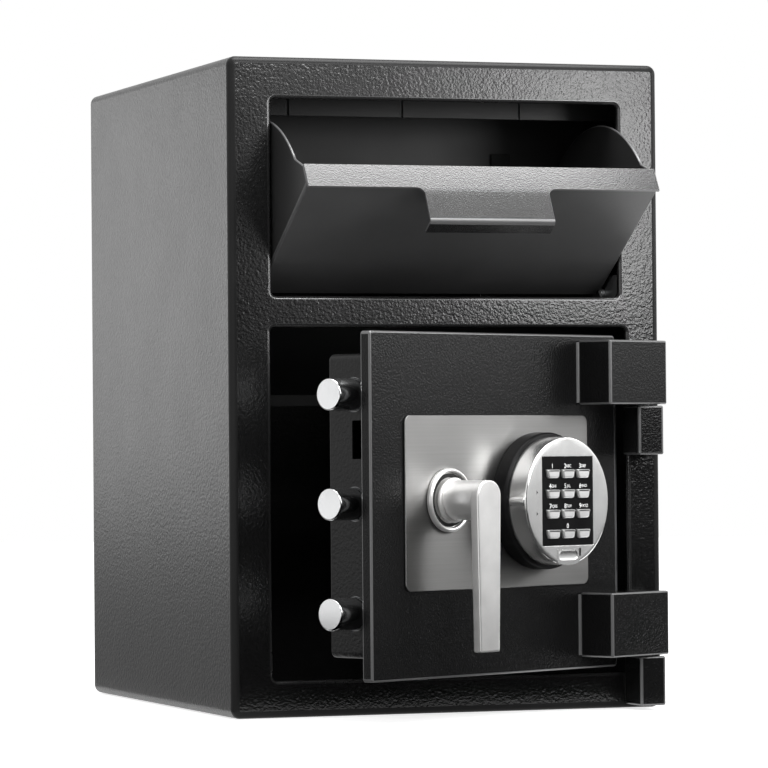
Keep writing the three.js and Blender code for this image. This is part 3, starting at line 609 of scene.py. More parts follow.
def brushed(name, tone, roughness, turn):
    """Metal brushed along one direction: streaks in tone, roughness and height."""
    recipe = Recipe(name, tone, roughness, 1.0)
    along = recipe.mapped((9, 9, 900), (0, 0, -turn))
    streaks = recipe.noise(1.0, 4.0, 0.6, along)
    smudges = recipe.noise(26, 3.0, 0.5)
    recipe.tint(streaks, 0.3, 0.7, tone, 0.95, 1.05)
    rough = recipe.calc("ADD", recipe.span(streaks, 0.3, 0.7, -0.03, 0.03),
                        recipe.span(smudges, 0.3, 0.7, roughness - 0.02, roughness + 0.04))
    recipe.set("Roughness", rough)
    recipe.shader.inputs["Anisotropic"].default_value = 0.8
    upright = recipe.tree.nodes.new("ShaderNodeCombineXYZ")
    upright.inputs["Z"].default_value = 1
    recipe.set("Tangent", upright.outputs[0])
    recipe.bump(streaks, 0.012 * MM)


def cast(name, tone, roughness, metallic):
    """Plated or metallic surface with a fine blasted grain and faint handling marks."""
    recipe = Recipe(name, tone, roughness, metallic)
    blasted = recipe.noise(1 / (0.35 * MM), 2.0, 0.6)
    handled = recipe.noise(35, 4.0, 0.6)
    recipe.tint(handled, 0.35, 0.7, tone, 0.94, 1.04)
    recipe.set("Roughness", recipe.span(handled, 0.3, 0.7, roughness - 0.03, roughness + 0.05))
    recipe.bump(blasted, 0.002 * MM)


def mill_steel(name, tone):
    """Bare sheet steel with mill scale, rolling lines and light staining."""
    recipe = Recipe(name, tone, 0.45, 0.9)
    rolled = recipe.noise(1.0, 3.0, 0.6, recipe.mapped((14, 400, 400)))
    stains = recipe.noise(40, 5.0, 0.65)
    recipe.tint(stains, 0.35, 0.7, tone, 0.75, 1.1)
    recipe.set("Roughness", recipe.span(stains, 0.3, 0.75, 0.36, 0.58))
    recipe.bump(rolled, 0.02 * MM)


def moulded(name, tone, roughness, specular, grain=0.5):
    """Moulded plastic or rubber with a fine grain, whose size is given in millimetres."""
    recipe = Recipe(name, tone, roughness, specular=specular)
    fine = recipe.noise(1 / (grain * MM), 2.0, 0.5)
    wear = recipe.noise(60, 3.0, 0.5)
    recipe.tint(wear, 0.35, 0.7, tone, 0.8, 1.3)
    recipe.set("Roughness", recipe.span(wear, 0.3, 0.7, roughness - 0.04, roughness + 0.06))
    recipe.bump(fine, 0.02 * MM)


def materials():
    """Every finish by name, made once."""
    look = bpy.context.scene.safe_finish
    turn = bpy.context.scene.safe_door.opening
    if "front coat" not in bpy.data.materials:
        coat("front coat", look.coat, look.coat_grain,
             height=0.26 * MM, roughness=0.19, specular=0.5, spread=0.06)
        coat("door coat", look.coat, look.coat_grain * 0.7,
             height=0.34 * MM, roughness=0.18, specular=0.16, spread=0.06)
        coat("side coat", look.coat, look.side_grain * 0.8,
             height=0.40 * MM, roughness=0.32, specular=0.27, spread=0.03)
        coat("cap coat", lighter(look.coat, 2.0), look.coat_grain * 0.6,
             height=0.10 * MM, roughness=0.22, specular=0.9, spread=0.06)
        satin("drawer coat", look.satin, roughness=0.36, specular=0.5)
        # A copy of the satin coat at a third of its tone, for the parts inside the cabinet and the drawer's
        # sides and back plate: painted shade.
        satin("inner coat", lighter(look.satin, 0.3), roughness=0.42, specular=0.3)
        # A lighter, glossier copy of the satin coat, for rounded rims and weld beads: a painted highlight.
        satin("edge coat", lighter(look.satin, 1.35), roughness=0.30, specular=1.0)
        # A lighter, glossier copy of the coat, for the rims of the front's openings: a painted highlight.
        satin("bend coat", lighter(look.satin, 0.25), roughness=0.26, specular=0.9)
        # A dark copy of the coat with little gloss, for the front's outer bends: painted shade.
        satin("outer bend coat", lighter(look.satin, 0.2), roughness=0.32, specular=0.12)
        brushed("brushed stainless", look.stainless, roughness=0.38, turn=turn)
        cast("satin nickel", look.nickel, roughness=0.32, metallic=0.85)
        cast("bright zinc", look.zinc, roughness=0.18, metallic=1.0)
        mill_steel("plain steel", look.steel)
        cast("silver housing", look.silver, roughness=0.20, metallic=0.95)
        cast("key silver", look.key, roughness=0.32, metallic=0.85)
        moulded("black plastic", look.plastic, roughness=0.36, specular=0.12)
        moulded("panel black", look.plastic, roughness=0.36, specular=0.06, grain=0.8)
        moulded("black rubber", look.rubber, roughness=0.75, specular=0.3)
        moulded("legend white", look.legend, roughness=0.5, specular=0.3)
    return bpy.data.materials


# Screws, set out in a grid by a node tree

def screw_head(name, radius):
    """A button head with a hexagon socket, its seat at zero and its crown towards -Z."""
    crown, socket_radius = radius * 0.62, radius * 0.42
    flank, dome, socket_depth = crown * 0.3, crown * 0.7, crown * 0.6
    sizes = [(radius, 0), (radius, -flank)]
    sizes += [(radius * cos(turn), -flank - dome * sin(turn)) for turn in (0.35, 0.7, 1.0)]
    top = sizes[-1][1]
    shape = bmesh.new()
    loops = skin(shape, [(circle((0, 0), size, 24), level) for size, level in sizes], ALONG_Z)
    socket = circle((0, 0), socket_radius, 6)
    mouth, floor = skin(shape, [(socket, top), (socket, top + socket_depth)], ALONG_Z)
    shape.faces.new(floor)
    shape.faces.new(loops[0])
    cap(shape, [loops[-1], mouth])
    return object_of(name, shape)


def screw_tree():
    """Node tree: one screw head at every point of a grid."""
    tree = bpy.data.node_groups.new("Screw grid", "GeometryNodeTree")
    tree.interface.new_socket("Geometry", in_out="INPUT", socket_type="NodeSocketGeometry")
    inputs = {"Head": "Object", "Across": "Float", "Up": "Float", "Columns": "Int", "Rows": "Int",
              "Material": "Material"}
    for title, kind in inputs.items():
        tree.interface.new_socket(title, in_out="INPUT", socket_type="NodeSocket" + kind)
    tree.interface.new_socket("Geometry", in_out="OUTPUT", socket_type="NodeSocketGeometry")
    given = tree.nodes.new("NodeGroupInput")
    result = tree.nodes.new("NodeGroupOutput")
    grid = tree.nodes.new("GeometryNodeMeshGrid")
    head = tree.nodes.new("GeometryNodeObjectInfo")
    spread = tree.nodes.new("GeometryNodeInstanceOnPoints")
    real = tree.nodes.new("GeometryNodeRealizeInstances")
    paint = tree.nodes.new("GeometryNodeSetMaterial")
    link = tree.links.new
    link(given.outputs["Across"], grid.inputs["Size X"])
    link(given.outputs["Up"], grid.inputs["Size Y"])
    link(given.outputs["Columns"], grid.inputs["Vertices X"])
    link(given.outputs["Rows"], grid.inputs["Vertices Y"])
    link(given.outputs["Head"], head.inputs["Object"])
    link(grid.outputs["Mesh"], spread.inputs["Points"])
    link(head.outputs["Geometry"], spread.inputs["Instance"])
    link(spread.outputs["Instances"], real.inputs["Geometry"])
    link(real.outputs["Geometry"], paint.inputs["Geometry"])
    link(given.outputs["Material"], paint.inputs["Material"])
    link(paint.outputs["Geometry"], result.inputs["Geometry"])
    return tree


def screw_grid(name, radius, across, up, columns, rows, coating, place):
    """Screw heads in a grid of columns and rows, seated in the plane of place."""
    tree = bpy.data.node_groups.get("Screw grid") or screw_tree()
    head = screw_head(name + "_head", radius)
    carrier = bpy.data.objects.new(name, bpy.data.meshes.new(name))
    bpy.context.scene.collection.objects.link(carrier)
    modifier = carrier.modifiers.new("Screws", "NODES")
    modifier.node_group = tree
    wanted = {"Head": head, "Across": across, "Up": up, "Columns": columns, "Rows": rows,
              "Material": materials()[coating]}
    for socket in tree.interface.items_tree:
        if socket.in_out == "INPUT" and socket.name in wanted:
            modifier[socket.identifier] = wanted[socket.name]
    applied(carrier)
    bpy.data.objects.remove(head)
    carrier.data.transform(place)
    return carrier


# Cabinet

def front_frame(look):
    """Front frame with the drawer slot and the doorway, bent round to the sides."""
    low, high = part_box("front_frame")
    outer = front_of(low, high, look.corner, 8)
    holes = [front_of(*opening, look.opening_corner) for opening in frame_openings()]
    piece = slab_object(
        "cabinet_front", outer, low.y, high.y, holes=holes,
        edges=(look.bend, 0), hole_edges=(look.opening_edge, look.opening_edge / 3), steps=6)
    # The rims round the openings get a lighter, glossier copy of the coat: a painted highlight along those
    # edges.
    finish(piece, "front coat", "cabinet", "front_frame", rim="bend coat")
    # The outer bends get a dark copy of the coat with little gloss: painted shade along the bends.
    bent = len(piece.data.materials)
    piece.data.materials.append(materials()["outer bend coat"])
    flat, upright = 0.999, 0.01
    for face in piece.data.polygons:
        spot = face.center
        margin = min(spot.x - low.x, high.x - spot.x, spot.z - low.z, high.z - spot.z)
        if margin < look.bend and upright < -face.normal.y < flat:
            face.material_index = bent


def frame_openings():
    """Lowest and highest corners of the drawer slot and of the doorway, read from the front frame."""
    low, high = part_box("front_frame")
    margin = 12 * MM
    rail = joint_place("hopper_pivot").z - 5 * MM
    inner = [vertex.co for vertex in frame["nodes"]["front_frame"].data.vertices
             if low.x + margin < vertex.co.x < high.x - margin
             and low.z + margin < vertex.co.z < high.z - margin]
    slot = box_of([corner for corner in inner if corner.z > rail])
    doorway = box_of([corner for corner in inner if corner.z < rail])
    return slot, doorway


def body_wrap(look):
    """The wrap: a folded tube with anchor holes in its floor."""
    low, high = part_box("body_wrap")
    wall, inwards = look.wall, look.anchor_inset
    outer = front_of(low, high, look.corner, 8)
    inner = front_of(low, high, look.corner - wall, 8, grow=-wall)
    piece = slab_object(
        "cabinet_wrap", outer, low.y, high.y, holes=(inner,),
        edges=(0, look.rear_edge), hole_edges=(0, look.rear_edge / 2))
    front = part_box("front_frame")[0].y
    holes = []
    for x in (low.x + inwards, high.x - inwards):
        for y in (front + inwards, high.y - inwards):
            holes.append(slab_object("anchor", circle((x, y), look.anchor_radius, 40),
                                     low.z - OVERRUN, low.z + wall + OVERRUN, basis=ALONG_Z))
    combined(piece, holes)
    finish(piece, "side coat", "cabinet", "body_wrap")


def back_panel(look):
    """The back panel, set into the wrap."""
    low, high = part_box("back_panel")
    inner_edge, outer_edge = 0.4 * MM, 0.8 * MM
    face = front_of(low, high, look.corner - look.wall)
    piece = slab_object("cabinet_back", face, low.y, high.y, edges=(inner_edge, outer_edge))
    finish(piece, "side coat", "cabinet", "back_panel")


def lintel_bar():
    """The bar behind the slot's upper edge, sawn part-way through at three places."""
    low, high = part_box("lintel_bar")
    piece = copy_of("lintel_bar", "lintel_channel")
    half, depth, uncut = 0.9 * MM, 1.6 * MM, 6 * MM
    cuts = []
    for across in (-110 * MM, -15 * MM, 84 * MM):
        cuts.append(slab_object(
            "saw", rectangle(across - half, across + half, low.z - OVERRUN, high.z - uncut),
            low.y - OVERRUN, low.y + depth))
    combined(piece, cuts)
    finish(piece, "inner coat", "cabinet", "lintel_bar", edge=0.4 * MM)


def knuckles(look):
    """The two hinge knuckles that are welded to the front frame."""
    edge, floor = look.block_edge, 5 * MM
    front_corner = edge * 1.4
    for node in ("hinge_knuckle_upper", "hinge_knuckle_lower"):
        low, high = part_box(node)
        face = rounded(rectangle(low.x, high.x, low.y, high.y), (front_corner, front_corner, edge, edge))
        bore = circle(tuple(joint_place("door_hinge").xy), look.pin_bore, 40)
        piece = slab_object(node + "_block", face, low.z, high.z, edges=(edge, edge), basis=ALONG_Z)
        combined(piece, [slab_object("bore", bore, low.z + floor, high.z + OVERRUN, basis=ALONG_Z)])
        finish(piece, "door coat", "cabinet", node, rim="edge coat")


def inner_sheets():
    """Chute, baffle, brackets, stops and pins: copies of their solids with broken edges."""
    # The chute and baffle take the darker inner copy of the satin coat: painted shade.
    plain = (
        ("chute_floor", "chute_sheet", "inner coat", 0.6),
        ("chute_baffle", "chute_comb", "inner coat", 0.4),
        ("hopper_bracket_left", "pivot_bracket_left", "plain steel", 0.4),
        ("hopper_bracket_right", "pivot_bracket_right", "plain steel", 0.4),
        ("trough_stop_left", "rubber_stop_left", "black rubber", 0.8),
        ("trough_stop_right", "rubber_stop_right", "black rubber", 0.8),
        ("hinge_pin_upper", "upper_hinge_pin", "plain steel", 0.6),
        ("hinge_pin_lower", "lower_hinge_pin", "plain steel", 0.6),
    )
    for node, name, coating, edge in plain:
        finish(copy_of(node, name), coating, "cabinet", node, edge=edge * MM)


class SAFE_OT_cabinet(bpy.types.Operator):
    """Builds the cabinet: front frame, wrap, back panel, chute, baffle and hinge knuckles"""
    bl_idname = "drop_safe.add_cabinet"
    bl_label = "Cabinet"

    def execute(self, context):
        look = context.scene.safe_cabinet
        front_frame(look)
        body_wrap(look)
        back_panel(look)
        lintel_bar()
        knuckles(look)
        inner_sheets()
        return {"FINISHED"}


# Deposit drawer

def drawer_face(look):
    """The drawer's face panel, with an ear on each side above the pivot."""
    place = drawer_place()
    low, high = shut_box("hopper_panel", place)
    ear = joint_place("hopper_pivot").z + look.ear_rise
    foot = high.x - look.ear_width
    outline = [(-foot, low.z), (foot, low.z), (foot, ear), (high.x, ear),
               (high.x, high.z), (low.x, high.z), (low.x, ear), (-foot, ear)]
    piece = slab_object("drawer_face", outline, low.y, high.y,
                        edges=(look.face_edge, FINE_EDGE), place=place)
    finish(piece, "drawer coat", "deposit_drawer", "hopper_panel")


def drawer_cap(look):
    """The cap with its lip and the finger pull, bent from one sheet."""
    place = drawer_place()
    low, high = shut_box("hopper_cap", place)
    half, fillet = look.pull_width / 2, look.pull_fillet
    edge = joint_place("hopper_pivot").y - look.cap_reach
    crease = edge - 0.5 * MM
    pull_left = (-half, low.y + look.bend)
    pull_right = (half, low.y + look.bend)
    plan = [(low.x, high.y), (low.x, edge)]
    plan += arc((-half - fillet, edge - fillet), fillet, 90, 0, 8)
    plan += [pull_left, pull_right]
    plan += arc((half + fillet, edge - fillet), fillet, 180, 90, 8)
    plan += [(high.x, edge), (high.x, high.y)]
    shape = bmesh.new()
    top = [shape.verts.new((x, y, high.z)) for x, y in plan]
    sheet = shape.faces.new(top)
    left, right = top[plan.index(pull_left)], top[plan.index(pull_right)]
    lip = [(low.y + cut, high.z - deep) for cut, deep in rounding(look.bend, 8)[1:]]
    for y, z in lip + [(low.y, low.z)]:
        next_left = shape.verts.new((-half, y, z))
        next_right = shape.verts.new((half, y, z))
        shape.faces.new((left, right, next_right, next_left))
        left, right = next_left, next_right
    bmesh.ops.recalc_face_normals(shape, faces=shape.faces)
    if sheet.normal.z < 0:
        bmesh.ops.reverse_faces(shape, faces=shape.faces)
    bend_down(shape, crease, look.pull_fold, look.pull_droop, low.z)
    piece = linked("drawer_cap", shape, place)
    thick = piece.modifiers.new("Sheet", "SOLIDIFY")
    thick.thickness = look.sheet
    thick.offset = -1
    thick.use_even_offset = True
    thick.use_quality_normals = True
    applied(piece)
    finish(piece, "cap coat", "deposit_drawer", "hopper_cap",
           edge=look.edge, smooth=40, rim="edge coat", narrow=look.sheet * 1.05)


def bend_down(shape, crease, fold, droop, foot):
    """Bends what lies before a crease down by an angle, softly over the fold. Its foot stays."""
    touching = 1e-6
    for part in (0, 0.5, 1):
        bmesh.ops.bisect_plane(
            shape, geom=shape.verts[:] + shape.edges[:] + shape.faces[:], dist=touching,
            plane_co=(0, crease - fold * part, 0), plane_no=(0, 1, 0))
    for vertex in shape.verts:
        ahead = crease - vertex.co.y
        if ahead > 0 and vertex.co.z > foot + touching:
            eased = min(ahead, fold)
            vertex.co.z -= tan(droop) * (ahead - eased + eased ** 2 / (2 * fold))


def drawer_sides(look):
    """The quarter-round side plates, with their pivot pins as pieces of their own."""
    place = drawer_place()
    pivot = joint_place("hopper_pivot")
    panel = shut_box("hopper_panel", place)[1]
    top = panel.z - pivot.z
    near = look.sheet + SEAT
    lip = shut_box("hopper_cap", place)[1].y - pivot.y
    heel, shelf, beyond_lip, rim = -8 * MM, 4.5 * MM, 16 * MM, 0.95 * MM
    start = degrees(acos((lip + beyond_lip) / look.trough_radius))
    outline = [(heel, heel)]
    outline += reversed([(heel, shelf), (near, shelf), (near, top), (lip, top)]
                        + arc((0, 0), look.trough_radius, start, -20, 40))
    outline = [(pivot.y + a, pivot.z + b) for a, b in outline]
    radius, chamfer = look.pin_radius, 0.6 * MM
    root = panel.x + 0.05 * MM
    for hand, side in (("left", -1), ("right", 1)):
        low, high = shut_box("hopper_side_" + hand, place)
        ends = sorted((side * panel.x, side * (panel.x - look.sheet)))
        piece = slab_object("drawer_side_" + hand, outline, *ends, edges=(rim, rim),
                            basis=ALONG_X, place=place)
        # The side's rounded rims take the lighter, glossier rim coat: a painted highlight.
        finish(piece, "inner coat", "deposit_drawer", "hopper_side_" + hand, rim="edge coat")
        tip = max(abs(low.x), abs(high.x))
        profile = [(0, root), (radius, root), (radius, tip - chamfer), (radius - chamfer, tip), (0, tip)]
        pin = lathe_object("drawer_pin_" + hand, [(r, side * along) for r, along in profile],
                           (pivot.y, pivot.z), 32, ALONG_X)
        finish(pin, "plain steel", "deposit_drawer")


class SAFE_OT_drawer(bpy.types.Operator):
    """Builds the deposit drawer: face, cap with its pull, sides, pins and back plate"""
    bl_idname = "drop_safe.add_drawer"
    bl_label = "Deposit drawer"

    def execute(self, context):
        look = context.scene.safe_drawer
        drawer_face(look)
        drawer_cap(look)
        drawer_sides(look)
        plate = copy_of("trough_plate", "drawer_back_plate")
        finish(plate, "inner coat", "deposit_drawer", "trough_plate", edge=look.edge)
        return {"FINISHED"}


# Door

BOLTS = ("locking_bolt_lower", "locking_bolt_middle", "locking_bolt_upper")


def handle_axis(place):
    """Where the handle's axis crosses the shut door, as (across, up)."""
    low, high = shut_box("lever_handle", place)
    return (low.x + high.x) / 2, high.z - bpy.context.scene.safe_handle.neck_radius


def spindle_hole(look, place):
    """Outline of the hole that the spindle passes through."""
    low, high = shut_box("spindle", place)
    centre = (low + high) / 2
    return circle((centre.x, centre.z), look.spindle_hole, 32)


def door_leaf(look):
    """The door plate, with holes for the spindle and for the keypad's cable."""
    place = door_place()
    low, high = shut_box("door_plate", place)
    cable_radius = 2 * MM
    cable = shut_box("keypad_cable", place)
    cable_hole = circle((middle(cable).x, cable[0].z + cable_radius), cable_radius + SEAT, 24)
    face = front_of(low, high, look.corner)
    piece = slab_object(
        "door_leaf", face, low.y, high.y, holes=(spindle_hole(look, place), cable_hole),
        edges=(look.edge, look.edge), hole_edges=(FINE_EDGE, FINE_EDGE), place=place)
    finish(piece, "door coat", "door", "door_plate", rim="edge coat")


def door_cover(look):
    """The pan that covers the boltwork, with holes for the bolts and a window in its latch side."""
    place = door_place()
    low, high = shut_box("boltwork_cover", place)
    bend, sheet, burr = look.cover_bend, look.cover_sheet, 0.2 * MM
    outer = front_of(low, high, look.cover_corner, 8)
    levels = [(sheet + cut, high.y - sheet - deep) for cut, deep in rounding(bend - sheet, 4)]
    levels += [(sheet, low.y + burr), (sheet - burr, low.y), (burr, low.y), (0, low.y + burr)]
    levels += [(cut, high.y - deep) for cut, deep in reversed(rounding(bend, 6))]
    shape = bmesh.new()
    loops = skin(shape, [(inset(outer, distance), level) for distance, level in levels], ALONG_Y)
    cap(shape, loops[:1])
    cap(shape, loops[-1:])
    piece = object_of("door_cover", shape, place)
    holes = []
    for node in BOLTS:
        bolt = shut_box(node, place)
        centre = middle(bolt)
        holes.append(circle((centre.y, centre.z), (bolt[1].z - bolt[0].z) / 2 + look.bolt_hole_gap))
    plate = shut_box("door_plate", place)[1].y
    axis = handle_axis(place)[1]
    near, far, foot, head = plate + 6 * MM, plate + 19.5 * MM, axis + 31.5 * MM, axis + 60.3 * MM
    holes.append(rectangle(near, far, foot, head, 0.8 * MM, 3))
    combined(piece, [slab_object("hole", outline, low.x - OVERRUN, low.x + sheet + OVERRUN,
                                 basis=ALONG_X, place=place) for outline in holes])
    finish(piece, "side coat", "door", "boltwork_cover")


def hinge_blocks(look):
    """The two blocks on the door that turn on the hinge pins, each with its weld bead."""
    place = door_place()
    pin = joint_place("door_hinge")
    edge, barrel, weld = look.block_edge, 15.9 * MM, 1.9 * MM
    bore_depth = 40 * MM + SEAT
    radii = (edge, edge * 1.3, edge * 1.3, 0)
    for node in ("hinge_block_upper", "hinge_block_lower"):
        low, high = shut_box(node, place)
        corners = [(low.x, high.y), (low.x, low.y), (high.x, low.y), (high.x, pin.y)]
        outline = rounded(corners, radii)[:-1]
        outline += arc(tuple(pin.xy), barrel, degrees(acos((high.x - pin.x) / barrel)), 90, 12)
        outline += [(pin.x - SEAT, high.y)]
        piece = slab_object(node + "_leaf", outline, low.z, high.z, edges=(edge, edge),
                            basis=ALONG_Z, place=place)
        combined(piece, [slab_object("bore", circle(tuple(pin.xy), look.pin_bore, 40),
                                     low.z - OVERRUN, low.z + bore_depth, basis=ALONG_Z)])
        finish(piece, "door coat", "door", node, rim="edge coat")
        corner = (low.x + SEAT, shut_box("door_plate", place)[0].y + SEAT)
        bead = slab_object(
            node + "_weld", [corner] + arc(corner, weld, 180, 270, 6), low.z + edge, high.z - edge,
            edges=(FINE_EDGE, FINE_EDGE), basis=ALONG_Z, place=place)
        # The bead takes the lighter, glossier rim coat: a painted highlight along it.
        finish(bead, "edge coat", "door")


def escutcheon(look):
    """The bare brushed plate behind the handle and the keypad."""
    place = door_place()
    low, high = shut_box("escutcheon_plate", place)
    rear_edge = 0.2 * MM
    face = front_of(low, high, look.plate_corner, 8)
    piece = slab_object(
        "escutcheon", face, low.y, high.y, holes=(spindle_hole(look, place),),
        edges=(look.plate_edge, rear_edge), hole_edges=(rear_edge, rear_edge), place=place)
    finish(piece, "brushed stainless", "door", "escutcheon_plate")


def door_screws(look):
    """Screws on the back of the boltwork cover and on the bar behind the hinge edge."""
    place = door_place()
    low, high = shut_box("boltwork_cover", place)
    centre = middle((low, high))
    margin = 14 * MM
    back_screws("cover_screws", look, (centre.x, high.y, centre.z),
                high.x - low.x - 2 * margin, high.z - low.z - 2 * margin, 2, 2)
    lower = middle(shut_box("guide_post_lower", place))
    upper = middle(shut_box("guide_post_upper", place))
    back_screws("post_screws", look, (lower.x, high.y, (lower.z + upper.z) / 2),
                0, upper.z - lower.z, 1, 2)
    bar = shut_box("dead_bar", place)
    from_edge, free_ends = 29 * MM, 40 * MM
    back_screws("dead_bar_screws", look, (bar[1].x - from_edge, bar[1].y, middle(bar).z),
                0, bar[1].z - bar[0].z - free_ends, 1, 3)


def back_screws(name, look, point, across, up, columns, rows):
    """A grid of screws on the back of the door, about a point on the shut door."""
    place = door_place() @ Matrix.Translation(point) @ Matrix.Rotation(radians(90), 4, "X")
    finish(screw_grid(name, look.screw_radius, across, up, columns, rows, "plain steel", place),
           "plain steel", "door")


class SAFE_OT_door(bpy.types.Operator):
    """Builds the door: plate, boltwork cover, hinge blocks, escutcheon plate and screws"""
    bl_idname = "drop_safe.add_door"
    bl_label = "Door"

    def execute(self, context):
        look = context.scene.safe_door
        door_leaf(look)
        door_cover(look)
        hinge_blocks(context.scene.safe_cabinet)
        escutcheon(look)
        door_screws(look)
        finish(copy_of("dead_bar", "hinge_side_bar"), "plain steel", "door", "dead_bar", edge=0.8 * MM)
        return {"FINISHED"}


class SAFE_OT_bolts(bpy.types.Operator):
    """Builds the three round locking bolts"""
    bl_idname = "drop_safe.add_bolts"
    bl_label = "Locking bolts"

    def execute(self, context):
        edge = context.scene.safe_door.bolt_edge
        place = door_place()
        stud, stud_length = 4 * MM, 8 * MM
        for node in BOLTS:
            low, high = shut_box(node, place)
            centre = middle((low, high))
            radius = (high.z - low.z) / 2
            shoulder = high.x - stud_length - SEAT
            profile = [(0, low.x)]
            profile += [(radius - cut, low.x + deep) for cut, deep in rounding(edge, 4)]
            profile += [(radius, shoulder), (stud, shoulder), (stud, high.x), (0, high.x)]
            piece = lathe_object(node.replace("locking_", ""), profile, (centre.y, centre.z), 72,
                                 ALONG_X, place=place)
            finish(piece, "bright zinc", "boltwork", node)
        return {"FINISHED"}


# Handle

def lever(look, place, bore):
    """The flat grip, joined to a round neck that narrows where it meets the grip."""
    low, high = shut_box("lever_handle", place)
    across, up = handle_axis(place)
    foot, top, foot_corner = look.grip_foot / 2, look.grip_top / 2, 1.2 * MM
    corners = [(across - foot, low.z), (across + foot, low.z), (across + top, high.z), (across - top, high.z)]
    outline = rounded(corners, (foot_corner, foot_corner, look.grip_corner, look.grip_corner), 10)
    back = low.y + look.grip_thickness
    grip = slab_object("lever", outline, low.y, back, edges=(look.grip_edge, look.grip_edge),
                       place=place, steps=5)
    neck, ring = look.neck_radius, look.root_radius
    socket = high.y - 20 * MM
    root = high.y - look.root_depth
    front = root - look.groove
    floor = low.y + 1.9 * MM
    blend, chamfer, edge, groove_depth = 18 * MM, 0.4 * MM, 0.9 * MM, 1.4 * MM
    profile = [
        (0, socket), (bore, socket), (bore, high.y), (ring - chamfer, high.y),
        (ring, high.y - chamfer), (ring, root + edge), (ring - FINE_EDGE, root + FINE_EDGE),
        (ring - edge, root), (neck - groove_depth, root), (neck - groove_depth, front),
        (neck - 0.2 * MM, front - 0.1 * MM), (neck, front - 0.5 * MM),
    ]
    profile += [(neck, back + blend * (1 - i / 8)) for i in range(9)]
    profile += [(neck - FINE_EDGE, floor + FINE_EDGE), (neck - edge, floor), (0, floor)]
    stem = lathe_object("neck", profile, (across, up), 96)
    narrowest = (top - 0.35 * MM) / neck
    for vertex in stem.data.vertices:
        near = min(max((back + blend - vertex.co.y) / blend, 0), 1)
        narrowed = 1 - (1 - narrowest) * near * near * (3 - 2 * near)
        vertex.co.x = across + (vertex.co.x - across) * narrowed
    stem.data.transform(place)
    combined(grip, [stem], "UNION")
    finish(grip, "satin nickel", "handle", "lever_handle", smooth=32)


def stepped_collar(look, place, bore):
    """The stepped collar round the lever's neck, and a black ring laid in its recess as painted shade."""
    low, high = shut_box("handle_collar", place)
    centre = handle_axis(place)
    outer = (high.x - low.x) / 2
    front, depth = low.y, high.y - low.y
    floor = front + depth * 0.8
    ring = [
        (bore, high.y), (outer - FINE_EDGE, high.y), (outer, high.y - FINE_EDGE),
        (outer, front + depth * 0.40), (outer - 0.3 * MM, front + depth * 0.20),
        (outer - 0.9 * MM, front + depth * 0.06), (outer - 1.7 * MM, front),
        (outer - 2.5 * MM, front + depth * 0.04), (outer - 3.1 * MM, front + depth * 0.15),
        (outer - 3.4 * MM, front + depth * 0.35), (outer - 3.6 * MM, floor),
        (bore, floor), (bore, high.y),
    ]
    collar = lathe_object("collar", ring, centre, 96, place=place)
    finish(collar, "satin nickel", "door", "handle_collar", smooth=32)
    # Painted shade: the black ring fills the collar's recess, where the recess lies in shade.
    inside, outside = look.root_radius + SEAT, outer - 4.1 * MM
    seat, shoulder, crown = floor - SEAT, floor - 1.0 * MM, floor - 1.3 * MM
    shade_ring = lathe_object("collar_washer", [
        (inside, seat), (inside, shoulder), (inside + 0.3 * MM, crown), (outside - 0.4 * MM, crown),
        (outside, crown + 0.4 * MM), (outside, seat), (inside, seat),
    ], centre, 96, place=place)
    finish(shade_ring, "black rubber", "door", smooth=32)


class SAFE_OT_handle(bpy.types.Operator):
    """Builds the lever handle and the stepped collar round its neck"""
    bl_idname = "drop_safe.add_handle"
    bl_label = "Handle"

    def execute(self, context):
        look = context.scene.safe_handle
        place = door_place()
        bore = look.spindle_side / 2 * sqrt(2) + SEAT
        lever(look, place, bore)
        stepped_collar(look, place, bore)
        return {"FINISHED"}


# Keypad

KEY_NAMES = ("1", "2", "3", "4", "5", "6", "7", "8", "9", "left", "0", "right")
KEY_LETTERS = {
    "2": "ABC", "3": "DEF", "4": "GHI", "5": "JKL", "6": "MNO", "7": "PQRS", "8": "TUV", "9": "WXYZ",
}


def key_outline(low, high, grow=0.0):
    """A key's outline, or the wider hole that it moves in: narrower and round at its foot."""
    foot = 1.4 * MM
    foot_radius, head_radius = 2.4 * MM, 0.5 * MM
    if grow:
        foot_radius += 0.1 * MM
        head_radius += 0.1 * MM
    points = [(low.x + foot, low.z), (high.x - foot, low.z), (high.x, high.z), (low.x, high.z)]
    return rounded(inset(points, -grow), (foot_radius, foot_radius, head_radius, head_radius), 4)


def mark_outline(centre, gap=0.0):
    """The upright slit beside the battery drawer, or the black fill set in it with a gap all round as painted
    shade.
    """
    left, foot = centre.x + 13 * MM, centre.z - 42.4 * MM
    width, height, corner = 2.2 * MM, 6.2 * MM, 0.7 * MM
    return rectangle(left + gap, left + width - gap, foot + gap, foot + height - gap, corner - gap, 3)


def keypad_base(look, place):
    """The black base behind the housing."""
    low, high = shut_box("keypad_base", place)
    centre = middle((low, high))
    radius = (high.x - low.x) / 2
    profile = [(0, low.y)]
    profile += [(radius - cut, low.y + deep) for cut, deep in rounding(look.base_edge, 6)]
    profile += [(radius, high.y), (0, high.y)]
    base = lathe_object("keypad_foot", profile, (centre.x, centre.z), 112, place=place)
    finish(base, "black plastic", "door", "keypad_base")


